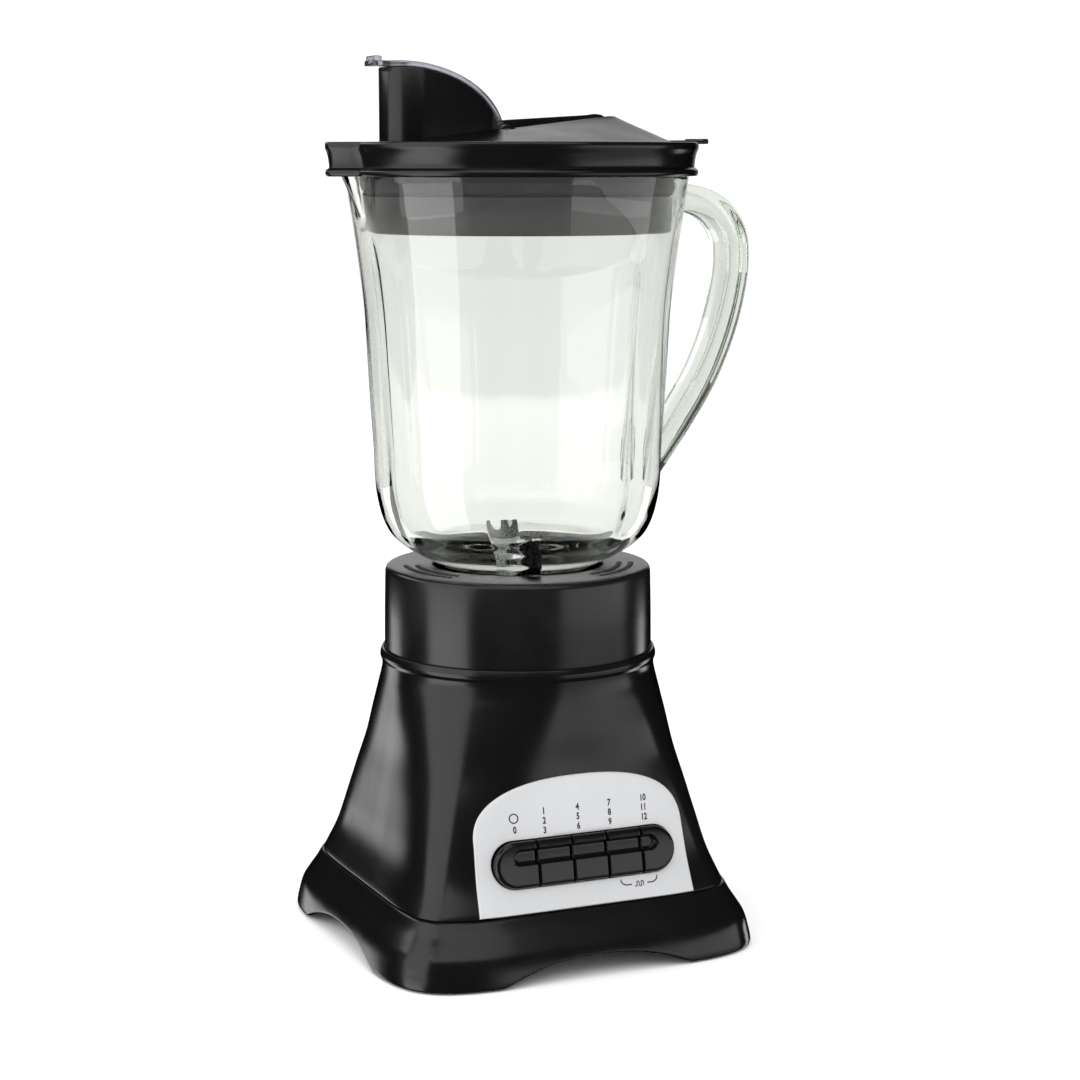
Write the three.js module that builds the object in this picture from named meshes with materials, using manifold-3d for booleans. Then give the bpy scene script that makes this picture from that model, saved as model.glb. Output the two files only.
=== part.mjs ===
// Countertop blender with a glass jar. Millimetres, +Z up, the feet on z = 0 and the keys facing -Y.
// The motor shaft is the axis of every round piece; the pour spout points to -X and the handle to +X.
import * as THREE from 'three';
import { mergeVertices } from 'three/addons/utils/BufferGeometryUtils.js';
import { ConvexGeometry } from 'three/addons/geometries/ConvexGeometry.js';
import Module from 'manifold-3d';

// ---- driving dimensions ----
const gap = 0.3; // between pieces that touch or slide
const facets = 36; // sides of the large round shells
const smallFacets = 12; // sides of the inner round pieces

const baseHeight = 124; // floor to the top of the base's rim bead
const seamHeight = 26.5; // floor to the seam between skirt and housing
const housingWall = 2.5;
const seamHalf = 72.9; // half width of the housing at the seam
// Housing from the seam up: height, flare beyond the rim, squareness of the plan (2 is a circle)
const housingFlare = [
  [26.8, 14.3, 6.3], [40, 9.7, 5.6], [54.5, 6.7, 4.8], [69, 4.2, 4.0], [83, 2.2, 3.2],
  [97.5, 1.2, 2.6], [108, 0.4, 2.25], [116.5, 0, 2.0], [124, 0, 2.0],
];
const rimWall = 0.8; // wall of the base's rim outside the collar
const beadProud = 0.8;
const beadHeight = 4.3;
const footHalf = 84.4; // half width over the foot skirt
const footSquareness = 5.4;
const footLift = 0.9; // skirt tips stay above the floor, the rubber feet touch it
const archHeight = 9.4;
const archHalf = 43;
const rubberFootRadius = 9;
const rubberFootPitch = 61; // from the axis, along X and along Y
const screwPostPitch = 47;
const screwPostRadius = 4.5;
const screwRadius = 1.6;

const wellDepth = 6; // the collar sinks this far into the base's rim
const collarRadius = 57.5;
const collarTaper = 0.6; // less radius at its top
const collarHeight = 41.5;
const collarWall = 2.5;
const collarEdge = 3; // rounding of its top edge
const neckRadius = 34.4; // glass neck inside the collar
const neckBore = 28.5;
const threadDepth = 1.8;

const jarHeight = 193.6; // bottom of the neck to the rim
const glassWall = 4.2;
const rimRadius = 71.9;
const shoulderRadius = 59.5;
const shoulderHeight = 50; // above the bottom of the neck
const lipReach = 8.2; // pour lip beyond the rim
const lipSpread = 0.15; // half angle of the lip, radians
const lipHeight = 24;
const handleReach = 35.5; // beyond the rim
const handleThickness = 11.6;
const handleWidth = 20;

const lidRimHeight = 14;
const lidWall = 3.8; // round the outside of the jar's rim
const lidDeck = 2.5;
const sealRoom = 5; // between the lid's plug and the glass
const plugDepth = 31.1; // below the rim of the jar
const lidNoseLength = 9;
const lidTabLength = 11.2;
const chuteHalf = 14; // half width over the chute
const chuteEnd = -13; // inner end of the chute
const chuteTip = -60.7; // outer end of the chute
const chuteRise = 28; // above the foot of its curve
const chuteRun = 44;
const chuteWall = 2.2;
const capThickness = 2.2;
const capLift = 2; // finger tab above the cap
const wingRise = 11;
const wingInset = 17; // half width of the channel between the wings

const shaftRadius = 4;
const armatureRadius = 21;
const stackHeight = 36;
const statorWidth = 80;
const statorDepth = 64;
const couplingRadius = 13;
const starRadius = 8.6;
const bladeReach = 26;

const panelHalf = 48.5;
const panelArch = 47;
const panelHeight = 54;
const panelProud = 1.2;
const keyHeight = 46.6; // middle of the key bank above the floor
const keyBankHalf = 40.7;
const keyBankRise = 9.6; // half height of the bank
const keyPitch = 15.7;
const keyProud = 4.3;
const keyGap = 0.8;
const keyTravel = 4;
const glandHeight = 42;
const glandRadius = 6;
const cordBore = 3.4;

// ---- dependent sizes and heights ----
const rimOuter = collarRadius + gap + rimWall;
const beadRadius = rimOuter + beadProud;
const lidRadius = rimRadius + gap + lidWall;
const lidNoseReach = lidRadius + lidNoseLength;
const lidTabReach = lidRadius + lidTabLength;
const plugRadius = rimRadius - glassWall - sealRoom;
const deckTop = baseHeight - wellDepth;
const deckThickness = 2.7;
const deckUnder = deckTop - deckThickness;
const collarBottom = deckTop + gap;
const collarTop = collarBottom + collarHeight;
const ledgeTop = collarBottom + 13.7;
const hubFlange = ledgeTop + gap;
const gasketBottom = hubFlange + 1.6 + gap;
const neckBottom = gasketBottom + 2 + gap;
const rimTop = neckBottom + jarHeight;
const lidTop = rimTop + gap + lidDeck + 5.3;
const lidBottom = lidTop - lidRimHeight;
const stackBottom = 44;
const stackTop = stackBottom + stackHeight;

const wasm = await Module();
wasm.setup();

// ---- shaping ----
// A closed geometry as a solid that can be joined and cut
function solid(geometry) {
  const bare = geometry.index ? geometry.toNonIndexed() : geometry.clone();
  for (const name of Object.keys(bare.attributes)) {
    if (name !== 'position') bare.deleteAttribute(name);
  }
  const merged = mergeVertices(bare, 1e-4);
  const index = merged.index.array;
  const kept = [];
  for (let i = 0; i < index.length; i += 3) {
    const [a, b, c] = [index[i], index[i + 1], index[i + 2]];
    if (a !== b && b !== c && c !== a) kept.push(a, b, c);
  }
  const points = merged.attributes.position;
  const corner = [0, 1, 2].map(() => new THREE.Vector3());
  let volume = 0;
  for (let i = 0; i < kept.length; i += 3) {
    corner.forEach((v, k) => v.fromBufferAttribute(points, kept[i + k]));
    volume += corner[0].dot(corner[1].clone().cross(corner[2]));
  }
  if (volume < 0) kept.reverse();
  return new wasm.Manifold(new wasm.Mesh({
    numProp: 3,
    vertProperties: new Float32Array(points.array),
    triVerts: new Uint32Array(kept),
  }));
}

function geometryOf(body) {
  const mesh = body.getMesh();
  const geometry = new THREE.BufferGeometry();
  geometry.setAttribute('position', new THREE.BufferAttribute(new Float32Array(mesh.vertProperties), 3));
  geometry.setIndex(new THREE.BufferAttribute(new Uint32Array(mesh.triVerts), 1));
  geometry.computeVertexNormals();
  return geometry;
}

const joined = (...bodies) => bodies.reduce((sum, body) => sum.add(body));

// Solid of revolution about +Z from (radius, height) corners
function turned(corners, sides = smallFacets) {
  const profile = corners.map(([r, z]) => new THREE.Vector2(r, z));
  if (corners[0][0] > 0 || corners.at(-1)[0] > 0) profile.push(profile[0].clone());
  return solid(new THREE.LatheGeometry(profile, sides).rotateX(Math.PI / 2));
}

function ring(inner, outer, low, high, sides = smallFacets) {
  return turned([[inner, low], [outer, low], [outer, high], [inner, high]], sides);
}

function rod(radius, low, high, x = 0, y = 0, sides = smallFacets) {
  const bar = new THREE.CylinderGeometry(radius, radius, high - low, sides).rotateX(Math.PI / 2);
  return solid(bar.translate(x, y, (low + high) / 2));
}

function block(x0, x1, y0, y1, z0, z1) {
  const box = new THREE.BoxGeometry(x1 - x0, y1 - y0, z1 - z0);
  return solid(box.translate((x0 + x1) / 2, (y0 + y1) / 2, (z0 + z1) / 2));
}

// A bar lying along Y
function crossRod(radius, y0, y1, x, z, sides = 16) {
  const bar = new THREE.CylinderGeometry(radius, radius, y1 - y0, sides);
  return solid(bar.translate(x, (y0 + y1) / 2, z));
}

function shapeOf(points) {
  return new THREE.Shape(points.map(([u, v]) => new THREE.Vector2(u, v)));
}

// An outline in the XY plane, raised from low to high
function raised(shape, low, high, curveSegments = 12) {
  const settings = { depth: high - low, bevelEnabled: false, curveSegments };
  return solid(new THREE.ExtrudeGeometry(shape, settings).translate(0, 0, low));
}

// An outline drawn in (x, z), run along Y
function along(shape, y0, y1, curveSegments = 12) {
  const settings = { depth: y1 - y0, bevelEnabled: false, curveSegments };
  const bar = new THREE.ExtrudeGeometry(shape, settings).rotateX(Math.PI / 2);
  return solid(bar.translate(0, y1, 0));
}

const quarterTurn = (body) => body.rotate([0, 0, 90]);

// Value between the rows of a table whose first column is the height
function atHeight(rows, z, column) {
  if (z <= rows[0][0]) return rows[0][column];
  for (let i = 1; i < rows.length; i++) {
    const [low, high] = [rows[i - 1], rows[i]];
    if (z <= high[0]) {
      const share = (z - low[0]) / (high[0] - low[0]);
      return low[column] + share * (high[column] - low[column]);
    }
  }
  return rows.at(-1)[column];
}

// Turned profile whose plan is squared up, by a squareness that changes with height
function squared(corners, squareness, sides = facets) {
  const profile = corners.map(([r, z]) => new THREE.Vector2(r, z));
  if (corners[0][0] > 0 || corners.at(-1)[0] > 0) profile.push(profile[0].clone());
  const geometry = new THREE.LatheGeometry(profile, sides).rotateX(Math.PI / 2);
  const place = geometry.attributes.position;
  for (let i = 0; i < place.count; i++) {
    const [x, y, z] = [place.getX(i), place.getY(i), place.getZ(i)];
    const radius = Math.hypot(x, y);
    if (radius < 1e-6) continue;
    const n = squareness(z);
    const reach = (Math.abs(x / radius) ** n + Math.abs(y / radius) ** n) ** (-1 / n);
    place.setXY(i, x * reach, y * reach);
  }
  return solid(geometry);
}

// The flare is drawn for a seam this much wider than the rim, and stretched to the real seam
const drawnFlare = housingFlare[0][1];
const housingSections = housingFlare.map(([z, flare, squareness]) =>
  [z, rimOuter + flare * (seamHalf - rimOuter) / drawnFlare, squareness]);
const housingSquareness = (z) => atHeight(housingSections, z, 2);

// The housing's outer form, moved in by an inset, between two heights
function housingForm(inset, low, high) {
  const rows = housingSections.filter(([z]) => z > low && z < high).map(([z, half]) => [half - inset, z]);
  const end = (z) => [atHeight(housingSections, z, 1) - inset, z];
  return squared([[0, low], end(low), ...rows, end(high), [0, high]], housingSquareness);
}

// ---- motor base ----
function upperHousing() {
  const low = seamHeight + gap;
  const rimInner = collarRadius + gap;
  const shell = housingForm(0, low, deckTop).subtract(housingForm(housingWall, low - 1, deckUnder));
  const rim = turned([
    [rimInner, deckTop - 2], [rimOuter, deckTop - 2], [rimOuter, baseHeight - beadHeight],
    [beadRadius, baseHeight - beadHeight + beadProud], [beadRadius, baseHeight - beadProud],
    [rimOuter + 0.1, baseHeight], [rimInner, baseHeight],
  ], facets);
  const guard = ring(couplingRadius + 2, couplingRadius + 4.4, deckTop - 1, deckTop + 3);
  let body = joined(shell, rim, guard);
  for (const [sx, sy] of [[1, 1], [-1, 1], [-1, -1], [1, -1]]) {
    const [x, y] = [sx * screwPostPitch, sy * screwPostPitch];
    const post = rod(screwPostRadius, plateTop + gap, 74, x, y, 12);
    const pilot = rod(screwRadius + gap, plateTop, plateTop + 14, x, y, 12);
    body = body.add(post).subtract(pilot);
    body = body.add(rod(4, bracketTop + gap, deckTop - 1, sx * 36, sy * 13, 12));
  }
  for (let i = 0; i < 4; i++) {
    body = body.add(block(46, 51, -4, 4, deckTop - 1, deckTop + 4).rotate([0, 0, 45 + 90 * i]));
  }
  body = body.subtract(rod(couplingRadius + 1, deckUnder - 1, deckTop + 4));
  body = body.subtract(keyOpening(keyGap / 2, -20, 8));
  return body.subtract(crossRod(glandRadius + gap, 40, 90, 0, glandHeight));
}

const skirtWall = 2.6;
const plateLow = 9.7;
const plateTop = 12;
const skirtSquareness = (z) => THREE.MathUtils.lerp(
  footSquareness, 6.3, THREE.MathUtils.clamp((z - 7) / 20, 0, 1));

function footSkirt() {
  const seat = atHeight(housingSections, seamHeight, 1);
  const tongue = housingForm(housingWall + gap, seamHeight - 3, seamHeight + 3.4)
    .subtract(housingForm(housingWall + gap + 2, seamHeight - 4, seamHeight + 4));
  const corners = [
    [footHalf - 0.4, footLift], [footHalf, 1.7], [footHalf - 0.3, 4.4], [footHalf - 1.1, 8],
    [footHalf - 3, 13.4], [footHalf - 5.3, 17.2], [footHalf - 8.6, 22.4], [seat + 0.8, seamHeight],
    [seat - housingWall - 2, seamHeight], [seat - housingWall - 2, seamHeight - 2.4],
    [footHalf - 11.4, 19.6], [footHalf - 7.2, plateTop + 2.6], [footHalf - 9.6, plateTop + 2.4],
    [footHalf - 9.6, plateTop + gap], [footHalf - 4.9, plateTop + gap], [footHalf - skirtWall - 1, 6.4],
    [footHalf - skirtWall - 0.4, footLift],
  ];
  const arch = [];
  for (let i = 0; i <= 12; i++) {
    const x = archHalf * (i / 6 - 1);
    arch.push([x, footLift - 0.5 + (archHeight - footLift + 0.5) * (1 - (x / archHalf) ** 2) ** 1.3]);
  }
  const opening = along(shapeOf([...arch, [archHalf, -1], [-archHalf, -1]]), -100, 100);
  return squared(corners, skirtSquareness).add(tongue).subtract(opening).subtract(quarterTurn(opening));
}

function basePlate() {
  const half = footHalf - 4.9 - gap;
  const form = squared([[0, plateLow], [half, plateLow], [half, plateTop], [0, plateTop]], () => footSquareness);
  let plate = form;
  for (let i = -4; i <= 4; i++) {
    plate = plate.subtract(block(i * 7 - 1.6, i * 7 + 1.6, -22, 22, plateLow - 1, plateTop + 1));
  }
  for (const [sx, sy] of [[1, 1], [-1, 1], [-1, -1], [1, -1]]) {
    const [x, y] = [sx * screwPostPitch, sy * screwPostPitch];
    plate = plate.subtract(rod(screwRadius + gap, plateLow - 1, plateTop + 1, x, y, 12));
  }
  return plate;
}

function rubberFoot() {
  const top = plateLow - gap;
  return turned([
    [0, 0], [rubberFootRadius - 1, 0], [rubberFootRadius, 1.2], [rubberFootRadius - 0.8, top], [0, top],
  ]);
}

function baseScrew() {
  const seat = plateLow - gap;
  return turned([
    [0, seat - 2.4], [2.6, seat - 2.4], [3.2, seat - 1.4], [3.2, seat], [screwRadius, seat],
    [screwRadius, plateTop + 12], [0, plateTop + 13],
  ], 12);
}

// ---- control panel and keys, drawn facing -Y with z up the slope ----
const panelSlope = (atHeight(housingSections, 40, 1) - atHeight(housingSections, 54.5, 1)) / 14.5;
const panelTilt = Math.atan(panelSlope);
const keySurface = atHeight(housingSections, keyHeight, 1);

function onSlope(body) {
  return body.rotate([-THREE.MathUtils.radToDeg(panelTilt), 0, 0]).translate([0, -keySurface, keyHeight]);
}

function stadium(x0, x1, rise) {
  const outline = new THREE.Shape();
  outline.absarc(x1 - rise, 0, rise, -Math.PI / 2, Math.PI / 2);
  outline.absarc(x0 + rise, 0, rise, Math.PI / 2, Math.PI * 1.5);
  outline.closePath();
  return outline;
}

function keyOpening(margin, front, back) {
  const outline = stadium(-keyBankHalf - margin, keyBankHalf + margin, keyBankRise + margin);
  return onSlope(along(outline, front, back, 8));
}

function controlPanel() {
  const outline = [[panelHalf, seamHeight + gap + 0.2]];
  const steps = 14;
  const shoulder = seamHeight + panelHeight - 26;
  for (let i = 0; i <= steps; i++) {
    const angle = Math.PI * i / steps;
    const [c, s] = [Math.cos(angle), Math.sin(angle)];
    const reach = (Math.abs(c) ** 2.4 + s ** 2.4) ** (-1 / 2.4);
    outline.push([panelArch * c * reach, shoulder + 26 * s * reach]);
  }
  outline.push([-panelHalf, seamHeight + gap + 0.2]);
  const slab = along(shapeOf(outline), -90, -30);
  const low = seamHeight + gap;
  const skin = housingForm(-panelProud - gap, low, low + 60).subtract(housingForm(-gap, low - 1, low + 61));
  return skin.intersect(slab).subtract(keyOpening(keyGap / 2, -20, 20));
}

const keyEdges = [-keyBankHalf, -1.5 * keyPitch + 1.8, -0.5 * keyPitch + 1.8, 0.5 * keyPitch + 1.8,
  1.5 * keyPitch + 1.8, keyBankHalf];
const keyNames = ['off_key', 'speed_1_key', 'speed_2_key', 'speed_3_key', 'speed_4_key'];
const keyBack = 3.2;
const frameFront = keyBack + keyTravel + 0.6;
const frameBack = frameFront + 9;

function keyBody(index) {
  const [x0, x1] = [keyEdges[index], keyEdges[index + 1]];
  const slice = block(x0 + (index ? keyGap / 2 : 0), x1 - (index < 4 ? keyGap / 2 : 0), -30, 30, -30, 30);
  const bank = along(stadium(-keyBankHalf, keyBankHalf, keyBankRise), -keyProud, keyBack, 8);
  const groove = along(stadium(-32.5, 32.5, 3.4), -keyProud - 1, -keyProud + 1.5, 8).translate([0, 0, 3.2]);
  const middle = (x0 + x1) / 2;
  const stem = block(middle - 2.2, middle + 2.2, keyBack - 0.5, frameBack + 0.8, -2.2, 2.2);
  return onSlope(bank.intersect(slice).subtract(groove).add(stem));
}

function switchFrame() {
  const lip = keyBankRise + keyGap;
  const plate = block(-41.5, 41.5, frameFront, frameBack, -lip - 2.2, lip + 2.2);
  const lips = joined(block(-32, 32, -4, frameFront + 1, lip, lip + 2.2),
    block(-32, 32, -4, frameFront + 1, -lip - 2.2, -lip));
  let frame = plate.add(lips);
  for (let i = 0; i < 5; i++) {
    const middle = (keyEdges[i] + keyEdges[i + 1]) / 2;
    const slot = 2.2 + gap;
    frame = frame.subtract(block(middle - slot, middle + slot, 0, 30, -slot, slot));
  }
  return onSlope(frame).intersect(housingForm(housingWall + gap, seamHeight + 4, 90));
}

function latchBar() {
  return onSlope(block(-40, 38, frameBack + gap, frameBack + gap + 1.6, -8.6, -4.4));
}

class Helix extends THREE.Curve {
  constructor(radius, length, turns) {
    super();
    Object.assign(this, { radius, length, turns });
  }
  getPoint(t, target = new THREE.Vector3()) {
    const angle = t * this.turns * Math.PI * 2;
    return target.set(this.radius * Math.cos(angle), this.length * t, this.radius * Math.sin(angle));
  }
}

// Return spring round a key's stem, between the key and the switch frame
function keySpring(index) {
  const wire = 0.35;
  const room = frameFront - keyBack - 2 * (wire + gap);
  const path = new Helix(3.7, room, 3);
  const section = shapeOf([[wire, 0], [0, wire], [-wire, 0], [0, -wire]]);
  const coil = new THREE.ExtrudeGeometry(section, { steps: 24, extrudePath: path });
  const middle = (keyEdges[index] + keyEdges[index + 1]) / 2;
  return onSlope(solid(coil).translate([middle, keyBack + wire + gap, 0]));
}

function cordGland() {
  const flange = glandRadius + 2.4;
  const inner = atHeight(housingSections, glandHeight + flange, 1) - housingWall - gap;
  const body = crossRod(flange, inner - 3.4, inner, 0, glandHeight)
    .add(crossRod(glandRadius, inner - 2, inner + 5.4, 0, glandHeight));
  return body.subtract(crossRod(cordBore, inner - 10, inner + 10, 0, glandHeight));
}

// ---- motor ----
const bearingOuter = 9.5;
const bracketTop = stackTop + 19.3;
const lowerBearing = 17;
const upperBearing = bracketTop + 0.7;

function bearing(low, height) {
  return ring(shaftRadius + gap, bearingOuter, low, low + height);
}

function upperBracket() {
  const thickness = 3;
  const low = bracketTop - thickness;
  const plate = joined(block(-42, 42, -18, 18, low, bracketTop), ring(9, 12.6, low, upperBearing + 6));
  const legs = joined(block(-40, -35, -10, 10, stackTop + gap, low), block(35, 40, -10, 10, stackTop + gap, low));
  const bore = rod(bearingOuter + gap, upperBearing - gap, upperBearing + 10);
  return joined(plate, legs).subtract(bore).subtract(rod(shaftRadius + 1.5, low - 1, upperBearing));
}

function lowerBracket() {
  const high = lowerBearing + 9.3;
  const plate = joined(block(-42, 42, -13, 13, high - 3, high), ring(9, 12.6, lowerBearing, high));
  const legs = joined(block(-40, -35, -10, 10, high - 1, stackBottom - gap),
    block(35, 40, -10, 10, high - 1, stackBottom - gap));
  const feet = joined(block(-42, -34, -13, 13, plateTop + gap, high - 1), block(34, 42, -13, 13, plateTop + gap, high - 1));
  const bore = rod(bearingOuter + gap, lowerBearing - 2, lowerBearing + 6 + gap);
  return joined(plate, legs, feet).subtract(bore).subtract(rod(shaftRadius + 1.5, lowerBearing, high + 1));
}

// Field coils: half widths inside and outside their ring, and where they lie along Y
const coilInner = armatureRadius + 1.4;
const coilOuter = coilInner + 8.9;
const windingRadius = armatureRadius - 4;
const coilNear = windingRadius + 0.6;
const coilFar = coilNear + 7.2;

function stator() {
  const [w, d] = [statorWidth / 2, statorDepth / 2];
  const outline = shapeOf([[-w + 8, -d], [w - 8, -d], [w, -d + 8], [w, d - 8], [w - 8, d], [-w + 8, d], [-w, d - 8],
    [-w, -d + 8]]);
  const body = raised(outline, stackBottom, stackTop);
  const bore = rod(armatureRadius + 1, stackBottom - 1, stackTop + 1);
  let cut = bore.add(block(-coilOuter - gap, coilOuter + gap, -12, 12, stackBottom - 1, stackTop + 1));
  for (const [x0, x1] of [[coilInner - gap, coilOuter + gap], [-coilOuter - gap, -coilInner + gap]]) {
    cut = cut.add(block(x0, x1, -coilFar - gap, coilFar + gap, stackBottom - 1, stackTop + 1));
  }
  return body.subtract(cut);
}

// A wound ring round one pole; side is +1 or -1 along Y
function fieldCoil(side) {
  const outer = new THREE.Shape();
  const [u, v] = [coilOuter, stackHeight / 2 + 5];
  outer.moveTo(-u + 6, -v);
  outer.lineTo(u - 6, -v);
  outer.absarc(u - 6, -v + 6, 6, -Math.PI / 2, 0);
  outer.absarc(u - 6, v - 6, 6, 0, Math.PI / 2);
  outer.absarc(-u + 6, v - 6, 6, Math.PI / 2, Math.PI);
  outer.absarc(-u + 6, -v + 6, 6, Math.PI, Math.PI * 1.5);
  const [a, b] = [coilInner, stackHeight / 2 + gap];
  const hole = new THREE.Path([[-a, -b], [-a, b], [a, b], [a, -b]].map(([x, z]) => new THREE.Vector2(x, z)));
  outer.holes.push(hole);
  const [y0, y1] = side > 0 ? [coilNear, coilFar] : [-coilFar, -coilNear];
  return along(outer, y0, y1, 3).translate([0, 0, (stackBottom + stackTop) / 2]);
}

const commutatorLow = stackTop + 5;
const brushHeight = commutatorLow + 5;

function carbonBrush() {
  return block(10 + gap, 24, -2.2, 2.2, brushHeight - 2.8, brushHeight + 2.8);
}

function brushHolder() {
  const top = bracketTop - 3 - gap;
  const tube = joined(block(13, 33, -4.2, 4.2, brushHeight - 4.6, brushHeight + 4.6),
    block(22, 32, -4.2, 4.2, brushHeight, top));
  const slot = 2.2 + gap;
  return tube.subtract(block(12, 30, -slot, slot, brushHeight - 2.8 - gap, brushHeight + 2.8 + gap));
}

function motorShaft() {
  return turned([
    [0, lowerBearing - 1.4], [shaftRadius - 0.6, lowerBearing - 1.4], [shaftRadius, lowerBearing - 0.6],
    [shaftRadius, deckTop - 2.6], [0, deckTop - 2.6],
  ]);
}

function armature() {
  const bore = shaftRadius + gap;
  return turned([
    [bore, stackBottom - 4], [windingRadius - 2, stackBottom - 4], [windingRadius, stackBottom - 2],
    [windingRadius, stackBottom], [armatureRadius, stackBottom], [armatureRadius, stackTop],
    [windingRadius, stackTop], [windingRadius - 2, stackTop + 3], [bore, stackTop + 3],
  ], 24);
}

const fanRadius = 29;
const fanLow = lowerBearing + 11;

function coolingFan() {
  let fan = joined(ring(shaftRadius + gap, 8, fanLow, fanLow + 9.4), ring(7.5, fanRadius, fanLow, fanLow + 1.4));
  for (let i = 0; i < 8; i++) {
    fan = fan.add(block(7.5, fanRadius - 0.5, -0.8, 0.8, fanLow + 1, fanLow + 8.6).rotate([0, 0, 45 * i]));
  }
  return fan;
}

// Eight-pointed star outline of the drive, by its tip radius
function star(radius) {
  const points = [];
  for (let i = 0; i < 16; i++) {
    const [r, angle] = [i % 2 ? radius - 2 : radius, Math.PI * i / 8];
    points.push([r * Math.cos(angle), r * Math.sin(angle)]);
  }
  return shapeOf(points);
}

function driveCoupling() {
  const hubLow = upperBearing + 6 + 2 * gap;
  const cup = turned([[0, hubLow], [8, hubLow], [8, deckUnder - 3.4], [couplingRadius, deckUnder - 2.4],
    [couplingRadius, baseHeight - 0.6], [0, baseHeight - 0.6]]);
  return cup.subtract(raised(star(starRadius + 0.4), deckTop - 1.8, baseHeight + 1))
    .subtract(rod(shaftRadius + gap, hubLow - 1, deckTop - 1));
}

// ---- jar collar, cutter and glass ----
function jarCollar() {
  const inner = collarRadius - collarWall;
  const sleeve = neckRadius + threadDepth + gap;
  const arc = [];
  for (let i = 0; i <= 3; i++) {
    const angle = Math.PI / 2 * i / 3;
    arc.push([collarRadius - collarTaper - collarEdge + collarEdge * Math.cos(angle),
      collarTop - collarEdge + collarEdge * Math.sin(angle)]);
  }
  return turned([
    [collarRadius, collarBottom], [collarRadius - 0.2, collarBottom + 22], ...arc,
    [sleeve + 0.6, collarTop], [sleeve, collarTop - 0.8], [sleeve, ledgeTop], [neckBore - 1.2, ledgeTop],
    [neckBore - 1.2, ledgeTop - 2.6], [sleeve + 2.6, ledgeTop - 2.6], [sleeve + 2.6, collarTop - 2.6],
    [inner - 2.2, collarTop - 2.6], [inner, collarTop - 6], [inner, collarBottom],
  ], facets);
}

function jarGasket() {
  return ring(neckBore - 0.3, neckRadius + 0.4, gasketBottom, gasketBottom + 2, 24);
}

const hubLow = baseHeight + 1;
const hubTop = hubFlange + 18;
const bushOuter = 6.5;

function cutterHub() {
  const bore = bushOuter + gap;
  const plate = hubFlange + 1.6;
  return turned([
    [bore, hubLow], [9.2, hubLow], [9.2, hubFlange - 2], [neckBore - 2, hubFlange - 1], [neckBore - 1.6, hubFlange],
    [neckRadius - 0.6, hubFlange], [neckRadius - 0.6, plate], [neckBore - 1, plate], [neckBore - 2, plate + 1],
    [19, plate + 6], [11, plate + 12], [9.4, hubTop - 0.6], [8.8, hubTop], [bore, hubTop],
  ], 24);
}

function shaftBush() {
  return ring(shaftRadius + gap, bushOuter, hubLow + 0.5, hubTop - 0.5);
}

const bladeLow = hubTop + 2.2;
const bladeThickness = 1.5;

function bladeShaft() {
  return turned([
    [0, deckTop - 1.2], [shaftRadius - 0.5, deckTop - 1.2], [shaftRadius, deckTop], [shaftRadius, hubTop + gap],
    [5.6, hubTop + gap], [5.6, bladeLow - gap], [shaftRadius, bladeLow - gap], [shaftRadius, bladeLow + 11.6],
    [shaftRadius - 0.6, bladeLow + 12.4], [0, bladeLow + 12.4],
  ]);
}

// Pressed steel blade: a flat middle and two arms that end dz above or below it
function blade(low, reach, dz, halfWidth) {
  const [t, root, knee] = [bladeThickness, 8, reach - 7];
  const side = shapeOf([
    [-reach, low + dz], [-knee, low + dz * 0.55], [-root, low], [root, low], [knee, low + dz * 0.55],
    [reach, low + dz], [reach, low + dz + t], [knee, low + dz * 0.55 + t], [root, low + t], [-root, low + t],
    [-knee, low + dz * 0.55 + t], [-reach, low + dz + t],
  ]);
  const plan = shapeOf([
    [-reach, -1], [-root, -halfWidth], [root, -halfWidth], [reach, -halfWidth + 3], [reach, 1],
    [root, halfWidth], [-root, halfWidth], [-reach, halfWidth - 3],
  ]);
  const strip = along(side, -halfWidth - 1, halfWidth + 1);
  const bore = rod(shaftRadius + gap, low - 40, low + 40);
  return strip.intersect(raised(plan, low - 40, low + 40)).subtract(bore);
}

function bladeNut() {
  const [low, high] = [bladeLow + 6.3, bladeLow + 11];
  return rod(5.8, low, high, 0, 0, 6).subtract(rod(shaftRadius + gap, low - 1, high + 1));
}

function drivenCoupling() {
  const plug = raised(star(starRadius), deckTop - 1.4, hubLow - 0.4);
  return plug.subtract(rod(shaftRadius + gap, deckTop - 2, hubLow));
}

// Side of the jar above its shoulder, drawn 12.4 out and 136.6 up, and stretched to reach the rim
const sideFlare = (rimRadius - shoulderRadius) / 12.4;
const sideStretch = (jarHeight - 7 - shoulderHeight) / 136.6;
const onSide = (out, up) => [shoulderRadius + out * sideFlare, shoulderHeight + up * sideStretch];
// Jar outside, (radius, height above the bottom of the neck)
const jarOutside = [
  [44.4, 29.3], [49.7, 32.6], [55.2, 37.8], [shoulderRadius - 1.9, shoulderHeight - 6.7],
  onSide(0, 0), onSide(2, 25.6), onSide(5.3, 82.6), onSide(8.3, 107.6), onSide(11.1, 127),
];

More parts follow.
